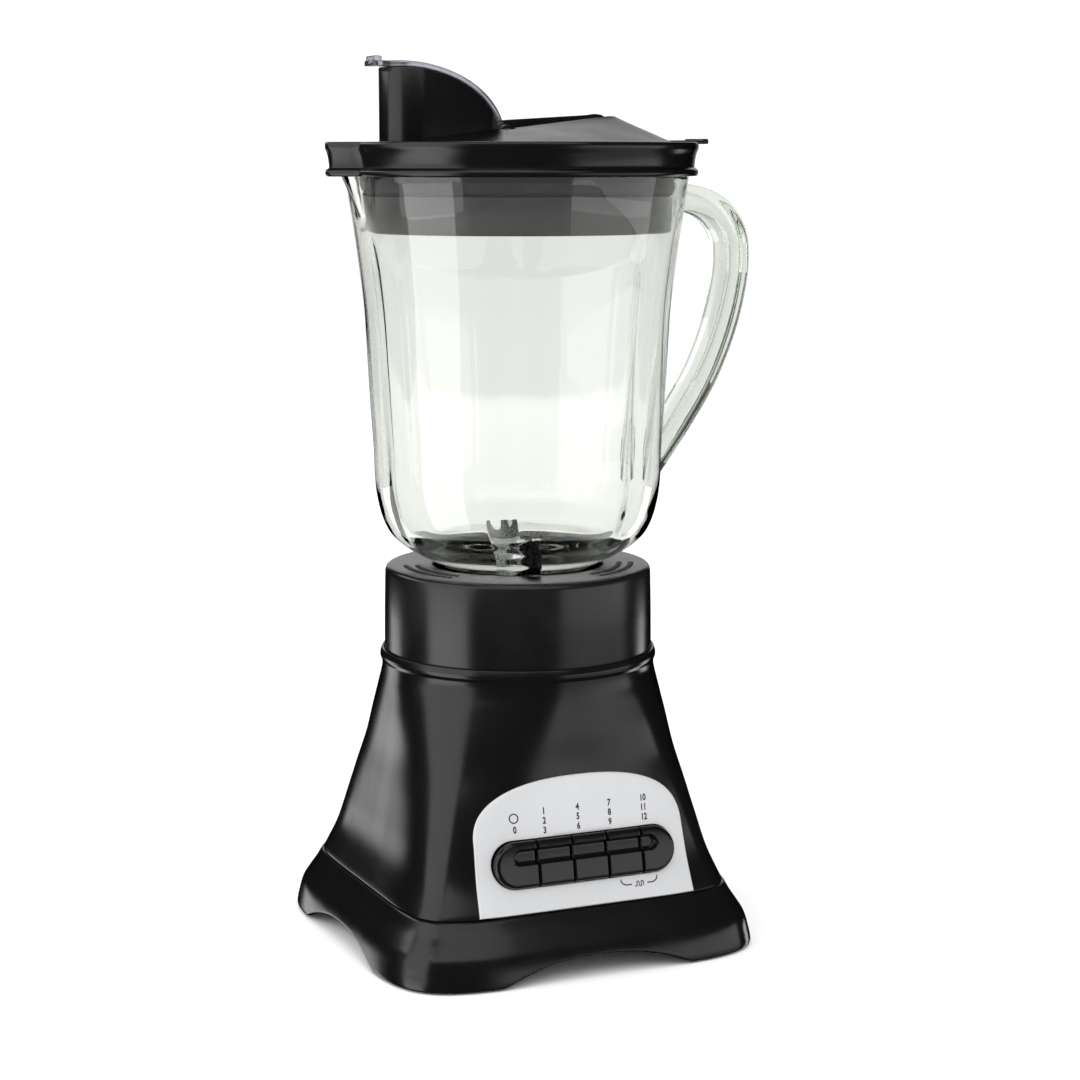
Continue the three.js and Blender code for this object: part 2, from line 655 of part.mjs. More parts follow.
function glassJar() {
  const crest = neckRadius + threadDepth;
  const threads = [[neckRadius, 6], [crest, 7.5], [crest, 10.5], [neckRadius, 12]];
  const shoulder = [[neckRadius, 0], ...threads, [neckRadius + 0.3, 22.8], [40.2, 26.2], ...jarOutside];
  const rim = [[rimRadius, jarHeight - 7], [rimRadius, jarHeight - 1.2], [rimRadius - 1.2, jarHeight],
    [rimRadius - glassWall + 1, jarHeight], [rimRadius - glassWall, jarHeight - 1.5]];
  const inside = jarOutside.slice(3).reverse().map(([r, z]) => [r - glassWall, z]);
  const floorCurve = [[51, 40.5], [45, 34.6], [36, 28.4], [neckBore + 1, 22], [neckBore, 19], [neckBore, 0]];
  const profile = [...shoulder, ...rim, ...inside, ...floorCurve].map(([r, z]) => new THREE.Vector2(r, z + neckBottom));
  profile.push(profile[0].clone());
  const geometry = new THREE.LatheGeometry(profile, facets).rotateX(Math.PI / 2);
  const place = geometry.attributes.position;
  for (let i = 0; i < place.count; i++) {
    const [x, y, z] = [place.getX(i), place.getY(i), place.getZ(i)];
    const turn = Math.abs(Math.atan2(y, -x)) / lipSpread;
    const rise = (z - rimTop + lipHeight) / lipHeight;
    if (turn < 1 && rise > 0) {
      const push = lipReach * Math.cos(turn * Math.PI / 2) ** 1.5 * rise ** 1.2;
      place.setX(i, x - push);
    }
  }
  const bore = jarOutside.slice(3).map(([r, z]) => [r - glassWall / 2, z + neckBottom]);
  const core = turned([[0, bore[0][1]], ...bore, [0, bore.at(-1)[1]]], facets);
  const grip = handle().subtract(core);
  return solid(geometry).add(grip);
}

// Handle centre line in (x, z above the shoulder)
function handle() {
  const out = rimRadius + handleReach - handleThickness / 2;
  const line = [
    [rimRadius - 4, 128], [out - 21.6, 127.9], [out - 8.6, 122.6], [out - 1.3, 112.6], [out, 101.5],
    [out - 2, 86.5], [out - 7, 69], [out - 15.5, 50], [out - 26, 33.5], [shoulderRadius - 2.5, 10],
  ];
  const foot = neckBottom + shoulderHeight;
  const path = new THREE.CatmullRomCurve3(line.map(([x, z]) => new THREE.Vector3(x, 0, foot + z * sideStretch)));
  const [a, b, r] = [handleThickness / 2, handleWidth / 2, 3];
  const section = shapeOf([[b, r - a], [b, a - r], [b - r, a], [r - b, a], [-b, a - r], [-b, r - a], [r - b, -a],
    [b - r, -a]]);
  const steps = 20;
  const sweep = new THREE.ExtrudeGeometry(section, { steps, extrudePath: path });
  return solid(uprightSection(sweep, path, steps));
}

// Lays each ring of a sweep again, so that the section's width is along Y
function uprightSection(geometry, path, steps) {
  const frames = path.computeFrenetFrames(steps, false);
  const place = geometry.attributes.position;
  const point = new THREE.Vector3();
  const centres = [];
  for (let i = 0; i <= steps; i++) centres.push(path.getPointAt(i / steps));
  for (let i = 0; i < place.count; i++) {
    point.fromBufferAttribute(place, i);
    let nearest = 0;
    for (let k = 1; k <= steps; k++) {
      const [now, best] = [k, nearest].map((n) => Math.abs(point.clone().sub(centres[n]).dot(frames.tangents[n])));
      const near = point.distanceTo(centres[k]) < handleWidth;
      if (near && (now < best || point.distanceTo(centres[nearest]) > handleWidth)) nearest = k;
    }
    const arm = point.clone().sub(centres[nearest]);
    const [u, v] = [arm.dot(frames.normals[nearest]), arm.dot(frames.binormals[nearest])];
    const side = new THREE.Vector3(0, 1, 0);
    const up = frames.tangents[nearest].clone().cross(side);
    point.copy(centres[nearest]).addScaledVector(side, u).addScaledVector(up, v);
    place.setXYZ(i, point.x, point.y, point.z);
  }
  return geometry;
}

// ---- lid ----
function lidRim(inset, low, high) {
  const nose = new THREE.Shape();
  const tip = 5 - inset / 2;
  nose.moveTo(-lidRadius + 8, -12.6 - 4 + inset);
  nose.lineTo(-lidRadius + 1.5, -12.6 + inset);
  nose.absarc(-lidNoseReach + 5 + inset / 2, 0, tip, -Math.PI * 0.72, -Math.PI * 1.28, true);
  nose.lineTo(-lidRadius + 1.5, 12.6 - inset);
  nose.lineTo(-lidRadius + 8, 12.6 + 4 - inset);
  nose.closePath();
  return raised(nose, low, high);
}

function wing(side) {
  const wingRadius = lidRadius - 9.2;
  const foot = lidTop - 1.2;
  const points = [[-48, wingInset, lidTop + 1], [36, wingInset, lidTop + wingRise], [57, wingInset, lidTop + 2.2],
    [-50, wingInset, foot], [62, wingInset, foot]];
  for (const angle of [24, 48, 72, 96, 120, 138]) {
    const turn = THREE.MathUtils.degToRad(angle);
    points.push([wingRadius * Math.cos(turn), wingRadius * Math.sin(turn), foot]);
  }
  return solid(new ConvexGeometry(points.map(([x, y, z]) => new THREE.Vector3(x, side * y, z))));
}

function chutePlan(inset) {
  const radius = chuteHalf - inset;
  const plan = new THREE.Shape();
  plan.moveTo(chuteEnd - inset, -radius);
  plan.lineTo(chuteEnd - inset, radius);
  plan.lineTo(chuteTip + chuteHalf, radius);
  plan.absarc(chuteTip + chuteHalf, 0, radius, Math.PI / 2, Math.PI * 1.5);
  plan.closePath();
  return plan;
}

const curveFoot = lidTop + 2.1;
const curveCentre = chuteEnd - chuteRun - 1;

// Side outline under the chute's quarter-ellipse top, grown by an offset
function underCurve(offset, low) {
  const outline = [[curveCentre - 20, low], [curveCentre + chuteRun + offset, low]];
  for (let i = 0; i <= 12; i++) {
    const angle = Math.PI / 2 * i / 12;
    outline.push([curveCentre + (chuteRun + offset) * Math.cos(angle), curveFoot + (chuteRise + offset) * Math.sin(angle)]);
  }
  outline.push([curveCentre - 20, curveFoot + chuteRise + offset]);
  return shapeOf(outline);
}

function chute() {
  const walls = raised(chutePlan(0), lidTop - 1, lidTop + 60);
  return walls.intersect(along(underCurve(0, lidTop - 2), -20, 20));
}

const hingeX = curveCentre + chuteRun + capThickness + gap + 1.4;
const hingeZ = lidTop + 4.6;
const earRadius = 2.4;
const noseWall = 1.4;

function lid() {
  const inner = rimRadius + gap;
  const under = lidTop - lidDeck;
  const crown = turned([
    [inner, lidBottom], [lidRadius, lidBottom], [lidRadius + 0.1, lidBottom + 2], [lidRadius - 1.5, lidBottom + 4.2],
    [lidRadius - 1.5, lidTop - 4.4], [lidRadius, lidTop - 2.2], [lidRadius - 0.8, lidTop], [0, lidTop], [0, under],
    [plugRadius - 2.2, under], [plugRadius - 2.2, rimTop - plugDepth], [plugRadius, rimTop - plugDepth],
    [plugRadius, under], [inner, under],
  ], facets);
  const notch = lidRim(noseWall, lidBottom - 1, under);
  const nose = lidRim(0, lidBottom, lidTop).subtract(rod(inner, lidBottom - 1, under, 0, 0, facets)).subtract(notch);
  const tab = joined(block(lidRadius - 7.2, lidTabReach, -9, 9, under, lidTop),
    block(lidTabReach - 3, lidTabReach, -9, 9, lidTop - 1, lidTop + 1.6));
  let ears = null;
  for (const [y0, y1] of [[10, 12.6], [-12.6, -10]]) {
    const ear = crossRod(earRadius, y0, y1, hingeX, hingeZ)
      .add(block(hingeX - earRadius, hingeX + earRadius, y0, y1, lidTop - 1, hingeZ));
    ears = ears ? ears.add(ear) : ear;
  }
  const chuteHole = raised(chutePlan(chuteWall), under - 1, lidTop + 60);
  return joined(crown.subtract(notch), nose, tab, wing(1), wing(-1), chute(), ears)
    .subtract(chuteHole).subtract(crossRod(1.1 + gap, -20, 20, hingeX, hingeZ));
}

function lidSeal() {
  const [low, inner] = [rimTop - 12, plugRadius + gap];
  const lip = rimRadius - glassWall - 1.2;
  return turned([
    [inner, low], [inner + 2, low], [lip, low + 2.4], [lip, low + 4], [inner + 2.2, low + 5.4],
    [inner + 2.2, rimTop - 0.6], [inner, rimTop - 0.6],
  ], facets);
}

function spoutCap() {
  const low = curveFoot + 1.4;
  const strip = along(underCurve(capThickness + gap, lidTop), -20, 20)
    .subtract(along(underCurve(gap, lidTop - 1), -21, 21));
  const plan = joined(raised(chutePlan(-gap), low, low + 60),
    block(chuteEnd - 1, chuteEnd + 20, -chuteHalf, chuteHalf, low, low + 60));
  const top = curveFoot + chuteRise + capThickness + gap;
  const tab = joined(block(chuteTip - 5.4, chuteTip + 8, -7, 7, top - capThickness, top),
    block(chuteTip - 4.6, chuteTip - 1, -5, 5, top - 0.5, top + capLift));
  const knuckle = crossRod(2, -9.7, 9.7, hingeX, hingeZ);
  const trunnion = crossRod(1.1, -12.4, 12.4, hingeX, hingeZ);
  let cap = strip.intersect(plan);
  for (const [y0, y1] of [[9.7, 15], [-15, -9.7]]) {
    cap = cap.subtract(block(hingeX - 8, hingeX + 8, y0, y1, lidTop, hingeZ + earRadius + gap));
  }
  return joined(cap, tab, knuckle, trunnion);
}

// ---- finishes ----
const finish = (color, roughness, metalness = 0) => ({ color, roughness, metalness });
const glossBlack = finish(0x1b1b1d, 0.18);
const satinBlack = finish(0x222224, 0.35);
const rubber = finish(0x19191a, 0.8);
const silver = finish(0xd9dadc, 0.35);
const glass = { ...finish(0xdfe8e2, 0.05), transparent: true, opacity: 0.35 };
const smoky = { ...finish(0x8c8d98, 0.1), transparent: true, opacity: 0.45 };
const steel = finish(0xc6c8ca, 0.25, 1);
const iron = finish(0x8b8d90, 0.5, 0.9);
const copper = finish(0xb0683a, 0.4, 0.9);
const zinc = finish(0xb9bcc0, 0.4, 0.9);
const nylon = finish(0xe8e6de, 0.5);
const carbon = finish(0x2a2a2c, 0.7);
const brass = finish(0xc8a24f, 0.35, 0.9);

const model = new THREE.Group();
const blender = new THREE.Group();
model.add(blender);

function piece(name, body, look, x = 0, y = 0) {
  const mesh = new THREE.Mesh(geometryOf(body), new THREE.MeshStandardMaterial(look));
  mesh.name = name;
  mesh.position.set(x, y, 0);
  blender.add(mesh);
}

piece('upper_housing', upperHousing(), glossBlack);
piece('foot_skirt', footSkirt(), glossBlack);
piece('base_plate', basePlate(), satinBlack);
[[1, 1], [-1, 1], [-1, -1], [1, -1]].forEach(([sx, sy], i) => {
  piece(`rubber_foot_${i + 1}`, rubberFoot(), rubber, sx * rubberFootPitch, sy * rubberFootPitch);
  piece(`base_screw_${i + 1}`, baseScrew(), zinc, sx * screwPostPitch, sy * screwPostPitch);
});
piece('control_panel', controlPanel(), silver);
piece('switch_frame', switchFrame(), nylon);
keyNames.forEach((name, i) => {
  piece(name, keyBody(i), glossBlack);
  piece(`${name}_spring`, keySpring(i), steel);
});
piece('latch_bar', latchBar(), zinc);
piece('cord_gland', cordGland(), rubber);
piece('upper_motor_bracket', upperBracket(), zinc);
piece('lower_motor_bracket', lowerBracket(), zinc);
piece('stator', stator(), iron);
[1, -1].forEach((side, i) => {
  piece(`field_coil_${i + 1}`, fieldCoil(side), copper);
  piece(`carbon_brush_${i + 1}`, carbonBrush().rotate([0, 0, 180 * i]), carbon);
  piece(`brush_holder_${i + 1}`, brushHolder().rotate([0, 0, 180 * i]), brass);
});
piece('upper_bearing', bearing(upperBearing, 6), steel);
piece('lower_bearing', bearing(lowerBearing, 6), steel);
piece('motor_shaft', motorShaft(), steel);
piece('armature', armature(), copper);
piece('commutator', ring(shaftRadius + gap, 10, commutatorLow, commutatorLow + 10), copper);
piece('cooling_fan', coolingFan(), satinBlack);
piece('drive_coupling', driveCoupling(), satinBlack);
piece('jar_collar', jarCollar(), satinBlack);
piece('jar_gasket', jarGasket(), rubber);
piece('cutter_hub', cutterHub(), satinBlack);
piece('shaft_bush', shaftBush(), brass);
piece('glass_jar', glassJar(), glass);
piece('blade_shaft', bladeShaft(), steel);
piece('lower_blade', blade(bladeLow, bladeReach, -5, 6.5), steel);
piece('blade_spacer', ring(shaftRadius + gap, 6, bladeLow + 1.8, bladeLow + 4.2), steel);
piece('upper_blade', blade(bladeLow + 4.5, bladeReach - 3, 13, 6.5).rotate([0, 0, 90]), steel);
piece('blade_nut', bladeNut(), steel);
piece('driven_coupling', drivenCoupling(), zinc);
piece('lid', lid(), glossBlack);
piece('lid_seal', lidSeal(), rubber);
piece('spout_cap', spoutCap(), smoky);

// The frame's origin is the middle of the footprint over spout and handle, on the floor
const extent = new THREE.Box3().setFromObject(blender);
blender.position.x = -(extent.min.x + extent.max.x) / 2;

export default model;
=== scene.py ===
import math

import bmesh
import bpy
import numpy as np
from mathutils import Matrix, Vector


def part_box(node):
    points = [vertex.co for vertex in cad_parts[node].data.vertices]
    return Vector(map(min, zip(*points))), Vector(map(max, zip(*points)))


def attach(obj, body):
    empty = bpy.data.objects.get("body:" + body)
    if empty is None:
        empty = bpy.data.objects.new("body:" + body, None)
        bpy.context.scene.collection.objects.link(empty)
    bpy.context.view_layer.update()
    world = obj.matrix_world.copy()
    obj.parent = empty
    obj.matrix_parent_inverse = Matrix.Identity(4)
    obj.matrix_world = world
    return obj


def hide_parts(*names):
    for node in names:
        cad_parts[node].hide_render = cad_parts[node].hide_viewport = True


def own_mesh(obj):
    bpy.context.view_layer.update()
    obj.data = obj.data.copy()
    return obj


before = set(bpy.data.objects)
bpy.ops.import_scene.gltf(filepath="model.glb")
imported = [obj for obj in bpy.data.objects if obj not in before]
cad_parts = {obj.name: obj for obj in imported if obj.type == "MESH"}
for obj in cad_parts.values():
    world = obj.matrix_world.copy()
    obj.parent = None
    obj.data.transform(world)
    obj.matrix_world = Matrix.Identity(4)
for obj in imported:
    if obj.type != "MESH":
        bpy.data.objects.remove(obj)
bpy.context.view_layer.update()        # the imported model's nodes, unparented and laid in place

# ---- studio ----
# The blender stands on a white table in front of a white backdrop. The camera is in front of the keys,
# a little to their left and level with the top of the jar, and looks down slightly.
shaft_low, shaft_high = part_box("motor_shaft")
axis_x = (shaft_low.x + shaft_high.x) / 2
eye_distance = 1.0521
eye_height = 0.33317
eye_swing = math.radians(23.63)
eye_turn = math.radians(24.151)
eye_tilt = math.radians(8.847)

camera = bpy.data.cameras.new("studio_camera")
camera.lens = 82.61
camera.sensor_width = 36
camera_stand = bpy.data.objects.new("studio_camera", camera)
camera_stand.location = (
    axis_x - eye_distance * math.sin(eye_swing),
    -eye_distance * math.cos(eye_swing),
    eye_height,
)
camera_stand.rotation_euler = (math.pi / 2 - eye_tilt, 0, -eye_turn)
bpy.context.collection.objects.link(camera_stand)
bpy.context.scene.camera = camera_stand
bpy.context.scene.view_settings.view_transform = "Standard"

world = bpy.data.worlds.new("white_room")
world.use_nodes = True
world.node_tree.nodes["Background"].inputs["Color"].default_value = (1, 1, 1, 1)
world.node_tree.nodes["Background"].inputs["Strength"].default_value = 1.1
bpy.context.scene.world = world
world.cycles_visibility.glossy = False


def softbox(name, bearing, wide, tall, height, distance, brightness, tip=0.0):
    """A soft area lamp at a bearing in degrees from the camera's side, positive to the right."""
    lamp = bpy.data.lights.new(name, "AREA")
    lamp.shape = "RECTANGLE"
    lamp.size, lamp.size_y = wide, tall
    lamp.energy = brightness * math.pi * wide * tall
    stand = bpy.data.objects.new(name, lamp)
    turn = math.radians(bearing) - eye_swing
    stand.location = (axis_x + distance * math.sin(turn), -distance * math.cos(turn), height)
    stand.rotation_euler = (math.pi / 2 - math.radians(tip), 0, turn)
    stand.visible_camera = False
    stand.visible_transmission = abs(bearing) < 90
    bpy.context.collection.objects.link(stand)


softbox("key_softbox", -62, 1.5, 1.8, 0.95, 1.6, 1.5)
softbox("low_key_softbox", -62, 1.1, 1.15, -0.53, 1.6, 2.6)
softbox("left_edge_softbox", -130, 0.6, 0.95, -0.6, 1.7, 2.0)
softbox("left_lid_softbox", -112, 1.3, 0.4, 0.95, 1.7, 2.2)
softbox("right_fill_softbox", 70, 2.5, 0.5, 0.09, 1.9, 1.25)
softbox("low_right_softbox", 70, 2.5, 0.95, -0.64, 1.9, 0.5)
softbox("right_edge_softbox", 131, 0.4, 0.95, -0.6, 1.7, 2.4)
softbox("rear_softbox", 180, 1.6, 2.2, 1.2, 2.2, 0.7)
softbox("front_softbox", 5, 2.6, 0.9, 1.5, 1.5, 1.2, 42)
softbox("top_softbox", -20, 1.0, 1.0, 2.0, 0.5, 1.4, 75)


# The finishes are made of shader nodes. A varying number is wrapped, so that sums on it add Math nodes.
class Amount:
    """A number that changes over a surface."""

    def __init__(self, finish, socket):
        self.finish, self.socket = finish, socket

    def _sum(self, operation, other):
        return self.finish.node("ShaderNodeMath", {"operation": operation}, {0: self, 1: other})

    def __add__(self, other):
        return self._sum("ADD", other)

    def __mul__(self, other):
        return self._sum("MULTIPLY", other)

    __radd__ = __add__
    __rmul__ = __mul__


class Finish:
    """A material, its Principled shader and the nodes that feed it."""

    def __init__(self, name, **steady):
        self.material = bpy.data.materials.new(name)
        self.material.use_nodes = True
        self.tree = self.material.node_tree
        self.shader = self.tree.nodes["Principled BSDF"]
        for socket, value in steady.items():
            self.shader.inputs[socket.replace("_", " ")].default_value = value
        self.place = self.node("ShaderNodeTexCoord", output="Object")

    def feed(self, socket, value):
        if isinstance(value, Amount):
            self.tree.links.new(value.socket, socket)
        else:
            socket.default_value = value

    def node(self, kind, settings=None, sockets=None, output=0):
        made = self.tree.nodes.new(kind)
        for name, value in (settings or {}).items():
            setattr(made, name, value)
        for name, value in (sockets or {}).items():
            self.feed(made.inputs[name], value)
        return Amount(self, made.outputs[output])

    def noise(self, scale, detail=2.0, stretch=(1, 1, 1)):
        place = self.node("ShaderNodeMapping", {}, {"Vector": self.place, "Scale": stretch})
        return self.node("ShaderNodeTexNoise", {}, {"Vector": place, "Scale": scale, "Detail": detail}, "Fac")

    def cells(self, scale, output):
        sockets = {"Vector": self.place, "Scale": scale}
        return self.node("ShaderNodeTexVoronoi", {"feature": "F1"}, sockets, output)

    def bands(self, direction, scale):
        sockets = {"Vector": self.place, "Scale": scale}
        return self.node("ShaderNodeTexWave", {"bands_direction": direction}, sockets)

    def ramp(self, amount, low, high, start=0.0, end=1.0):
        """The amount, taken from start..end to low..high."""
        sockets = {"Value": amount, 1: start, 2: end, 3: low, 4: high}
        return self.node("ShaderNodeMapRange", {}, sockets)

    def mixed(self, share, first, second):
        """One colour blending into another."""
        sockets = {"Factor": share, 6: (*first, 1), 7: (*second, 1)}
        return self.node("ShaderNodeMix", {"data_type": "RGBA"}, sockets, 2)

    def bumped(self, height, deep, strength=1.0):
        sockets = {"Height": height, "Distance": deep, "Strength": strength}
        self.feed(self.shader.inputs["Normal"], self.node("ShaderNodeBump", {}, sockets))

    def set(self, socket, value):
        self.feed(self.shader.inputs[socket], value)


def table_top():
    """Matt white laminate, with a faint mottle."""
    finish = Finish("table_white", Roughness=1.0, Specular_IOR_Level=0.0)
    finish.set("Base Color", finish.mixed(finish.noise(3), (0.93, 0.93, 0.93), (0.95, 0.95, 0.95)))
    return finish.material


table_half = 6.0
table_mesh = bpy.data.meshes.new("table")
corners = [(-table_half, -table_half, 0), (table_half, -table_half, 0), (table_half, table_half, 0),
           (-table_half, table_half, 0)]
table_mesh.from_pydata(corners, [], [(0, 1, 2, 3)])
table_mesh.materials.append(table_top())
table = bpy.data.objects.new("table", table_mesh)
table.visible_glossy = False
bpy.context.collection.objects.link(table)

# ---- motor housing ----
# One moulding of gloss black plastic: four flat flared sides at the foot that turn round towards the top,
# where a bead runs round the rim that the jar's collar drops into. It hangs on four posts screwed from below.
mm = 0.001
sides = 288            # facets of the large round pieces
usual_crease = 38      # degrees between facets that are shaded as an edge


def heights(node):
    """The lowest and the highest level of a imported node, in mm."""
    low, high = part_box(node)
    return low.z / mm, high.z / mm


seam = heights("control_panel")[0] - 0.2
seam_squareness = 6.3
rim_top = heights("upper_housing")[1]
collar_clearance = 0.3
collar_radius = (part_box("jar_collar")[1].x - axis_x) / mm
housing_wall = 2.5
# height, half width, squareness of the plan: 2 is a circle
housing_rows = np.array([
    (26.8, 72.9, seam_squareness), (40, 68.3, 5.6), (54.5, 65.3, 4.8), (69, 62.8, 4.0), (83, 60.8, 3.2),
    (97.5, 59.8, 2.6), (108, 59.0, 2.25), (116.5, 58.6, 2.0), (124, 58.6, 2.0),
])


def smooth(points, per_span=6):
    """A curve through points, with as many more points on each span."""
    points = np.asarray(points, float)
    steps = np.linalg.norm(np.diff(points, axis=0), axis=1)
    slopes = np.diff(points, axis=0) / steps[:, None]
    ends = [slopes[0], *((slopes[i] * steps[i + 1] + slopes[i + 1] * steps[i]) / (steps[i] + steps[i + 1])
                         for i in range(len(steps) - 1)), slopes[-1]]
    found = []
    for i, step in enumerate(steps):
        for t in np.arange(per_span) / per_span:
            found.append((2 * t**3 - 3 * t**2 + 1) * points[i] + (t**3 - 2 * t**2 + t) * step * ends[i]
                         + (3 * t**2 - 2 * t**3) * points[i + 1] + (t**3 - t**2) * step * ends[i + 1])
    return np.array([*found, points[-1]])


def rounded(corners, closed=True, steps=5):
    """An outline of (x, y, radius) corners, with each corner turned on its radius."""
    corners = [tuple(c) if len(c) > 2 else (*c, 0.0) for c in corners]
    found = []
    for i, (x, y, radius) in enumerate(corners):
        here = np.array([x, y])
        if not closed and i in (0, len(corners) - 1):
            found.append(here)
            continue
        before = np.array(corners[i - 1][:2]) - here
        after = np.array(corners[(i + 1) % len(corners)][:2]) - here
        long_before, long_after = np.linalg.norm(before), np.linalg.norm(after)
        if radius == 0 or min(long_before, long_after) < 1e-6:
            found.append(here)
            continue
        before, after = before / long_before, after / long_after
        half = math.acos(np.clip(before @ after, -1, 1)) / 2
        reach = min(radius / max(math.tan(half), 1e-3), 0.49 * long_before, 0.49 * long_after)
        for t in np.linspace(0, 1, steps + 1):
            found.append(here + before * reach * (1 - t) ** 2 + after * reach * t**2)
    return np.array(found)


def skin(rings, endless=False, capped=True):
    """Vertices and faces over rings of points; endless joins the last ring to the first."""
    rings = np.asarray(rings, float)
    rows, around = rings.shape[:2]
    spans = rows if endless else rows - 1
    i, j = np.meshgrid(np.arange(spans), np.arange(around), indexing="ij")
    down, across = (i + 1) % rows, (j + 1) % around
    faces = np.stack([i * around + j, i * around + across, down * around + across, down * around + j], -1)
    faces = [tuple(f) for f in faces.reshape(-1, 4).tolist()]
    if capped and not endless:
        faces.append(tuple(range(around)))
        faces.append(tuple(range((rows - 1) * around, rows * around))[::-1])
    return rings.reshape(-1, 3), faces


def squared_ring(radius, height, squareness=2.0, count=sides):
    """A ring round the motor axis that is a circle at squareness 2, and squarer above that."""
    turn = np.arange(count) * 2 * math.pi / count
    c, s = np.cos(turn), np.sin(turn)
    reach = (np.abs(c) ** squareness + np.abs(s) ** squareness) ** (-1 / squareness)
    return np.stack([radius * c * reach, radius * s * reach, np.full(count, height)], -1)


def merged(shapes):
    """Several shapes as one."""
    vertices, faces, count = [], [], 0
    for points, polygons in shapes:
        vertices.append(points)
        faces += [tuple(k + count for k in polygon) for polygon in polygons]
        count += len(points)
    return np.concatenate(vertices), faces


def turned(profile, endless=True, count=sides, x=0.0, y=0.0):
    """A round piece from its (radius, height) profile, round the motor axis or at x, y."""
    rings = [squared_ring(max(r, 0), z, 2.0, count) + (x, y, 0) for r, z in profile]
    return skin(rings, endless)


def rod(radius, low, high, count=48, x=0.0, y=0.0):
    """A plain upright rod between two heights, for a peg or to cut a bore."""
    return turned([(0, low), (radius, low), (radius, high), (0, high)], False, count, x, y)


def level(outline, height):
    """A flat outline as a ring of points at a height."""
    return np.column_stack([outline, np.full(len(outline), height)])


def made_piece(name, shapes, finish, crease=usual_crease):
    """One object from (vertices in mm round the motor axis, faces) pairs, welded and shaded smooth."""
    shell = bmesh.new()
    for vertices, faces in shapes:
        corners = [shell.verts.new((x * mm + axis_x, y * mm, z * mm)) for x, y, z in vertices]
        for face in faces:
            shell.faces.new([corners[k] for k in face])
    bmesh.ops.remove_doubles(shell, verts=shell.verts, dist=1e-6)
    bmesh.ops.dissolve_degenerate(shell, edges=shell.edges, dist=1e-7)
    bmesh.ops.recalc_face_normals(shell, faces=shell.faces)
    mesh = bpy.data.meshes.new(name)
    shell.to_mesh(mesh)
    shell.free()
    mesh.materials.append(finish)
    piece = bpy.data.objects.new(name, mesh)
    bpy.context.collection.objects.link(piece)
    shade(piece, crease)
    return piece


def shade(piece, crease):
    piece.data.shade_smooth()
    piece.data.set_sharp_from_angle(angle=math.radians(crease))


def combined(piece, shapes, operation="DIFFERENCE", crease=usual_crease):
    """Cuts shapes from a piece, or joins them to it, as closed solids."""
    for number, shape in enumerate(shapes):
        tool = made_piece(f"{piece.name}_tool_{number}", [shape], piece.data.materials[0])
        change = piece.modifiers.new("change", "BOOLEAN")
        change.operation, change.solver, change.object = operation, "MANIFOLD", tool
        graph = bpy.context.evaluated_depsgraph_get()
        mesh = bpy.data.meshes.new_from_object(piece.evaluated_get(graph))
        piece.modifiers.clear()
        piece.data = mesh
        bpy.data.objects.remove(tool)
    shade(piece, crease)


def housing_at(height, inset=0.0):
    """(half width, squareness) of the housing's outside at a height, moved in by an inset."""
    rows = smooth(housing_rows, 8)
    half = np.interp(height, rows[:, 0], rows[:, 1])
    return half - inset, np.interp(height, rows[:, 0], rows[:, 2])


def gloss_black(name, roughness=0.16, peel=0.00002):
    """Polished black plastic: a faint orange peel, wiping marks in the gloss and a little dust."""
    finish = Finish(name, IOR=1.5)
    wiped = finish.noise(60, 4, (1, 1, 0.15))
    dust = finish.ramp(finish.noise(2600, 2), 0, 1, 0.68, 0.78)
    finish.set("Base Color", finish.mixed(dust * 0.25, (0.0045, 0.0045, 0.005), (0.06, 0.06, 0.062)))
    finish.set("Roughness", finish.ramp(wiped, roughness - 0.03, roughness + 0.05, 0.3, 0.7) + dust * 0.1)
    finish.bumped(finish.noise(320, 2), peel, 0.4)
    return finish.material


housing_black = gloss_black("housing_gloss_black", 0.2)
deck_top = heights("jar_collar")[0] - collar_clearance
deck_under = deck_top - 2.7
rim_inner = collar_radius + collar_clearance
rim_outer = rim_inner + 0.8
bead_low, bead_radius = rim_top - 5.3, rim_outer + 0.8
coupling_hole = 14.0
guard_inner, guard_outer, guard_top = 15.0, 17.4, deck_top + 3

outer_rows = [(*housing_at(z)[:1], z, housing_at(z)[1]) for z in np.linspace(seam + 0.7, 112.2, 56)]
bead = rounded([(rim_outer, 116), (rim_outer, bead_low, 0.3), (bead_radius, bead_low + 1.6, 2.2),
                (bead_radius, rim_top - 2.2, 2.2), (rim_outer + 0.1, rim_top, 0.3), (rim_inner, rim_top, 0.2),
                (rim_inner, deck_top, 0.4), (guard_outer, deck_top, 0.5), (guard_outer, guard_top, 0.5),
                (guard_inner, guard_top, 0.5), (guard_inner, deck_top, 0.3), (coupling_hole, deck_top, 0.4),
                (coupling_hole, deck_under), (rim_inner - 3, deck_under, 2)], closed=False)
inner_rows = [(housing_at(z, housing_wall)[0], z, housing_at(z)[1]) for z in np.linspace(112, seam, 30)]
seam_half = housing_at(seam)[0]
lip_rows = [(seam_half - 0.7, seam, seam_squareness), (seam_half - 0.15, seam + 0.2, seam_squareness)]
profile = [*outer_rows, *[(r, z, 2.0) for r, z in bead], *inner_rows, *lip_rows]
housing = made_piece("housing_shell", [skin([squared_ring(*row) for row in profile], True)], housing_black)

key_surface, key_height = 66.934, 46.6
slope = math.atan(3 / 14.5)
key_bank_half, key_bank_rise, key_gap = 40.7, 9.6, 0.8


def on_slope(points):
    """Points given along the key bank, up the slope and out of it, in the housing's own place."""
    u, v, w = np.moveaxis(np.asarray(points, float), -1, 0)
    y = -key_surface + v * math.sin(slope) - w * math.cos(slope)
    return np.stack([u, y, key_height + v * math.cos(slope) + w * math.sin(slope)], -1)


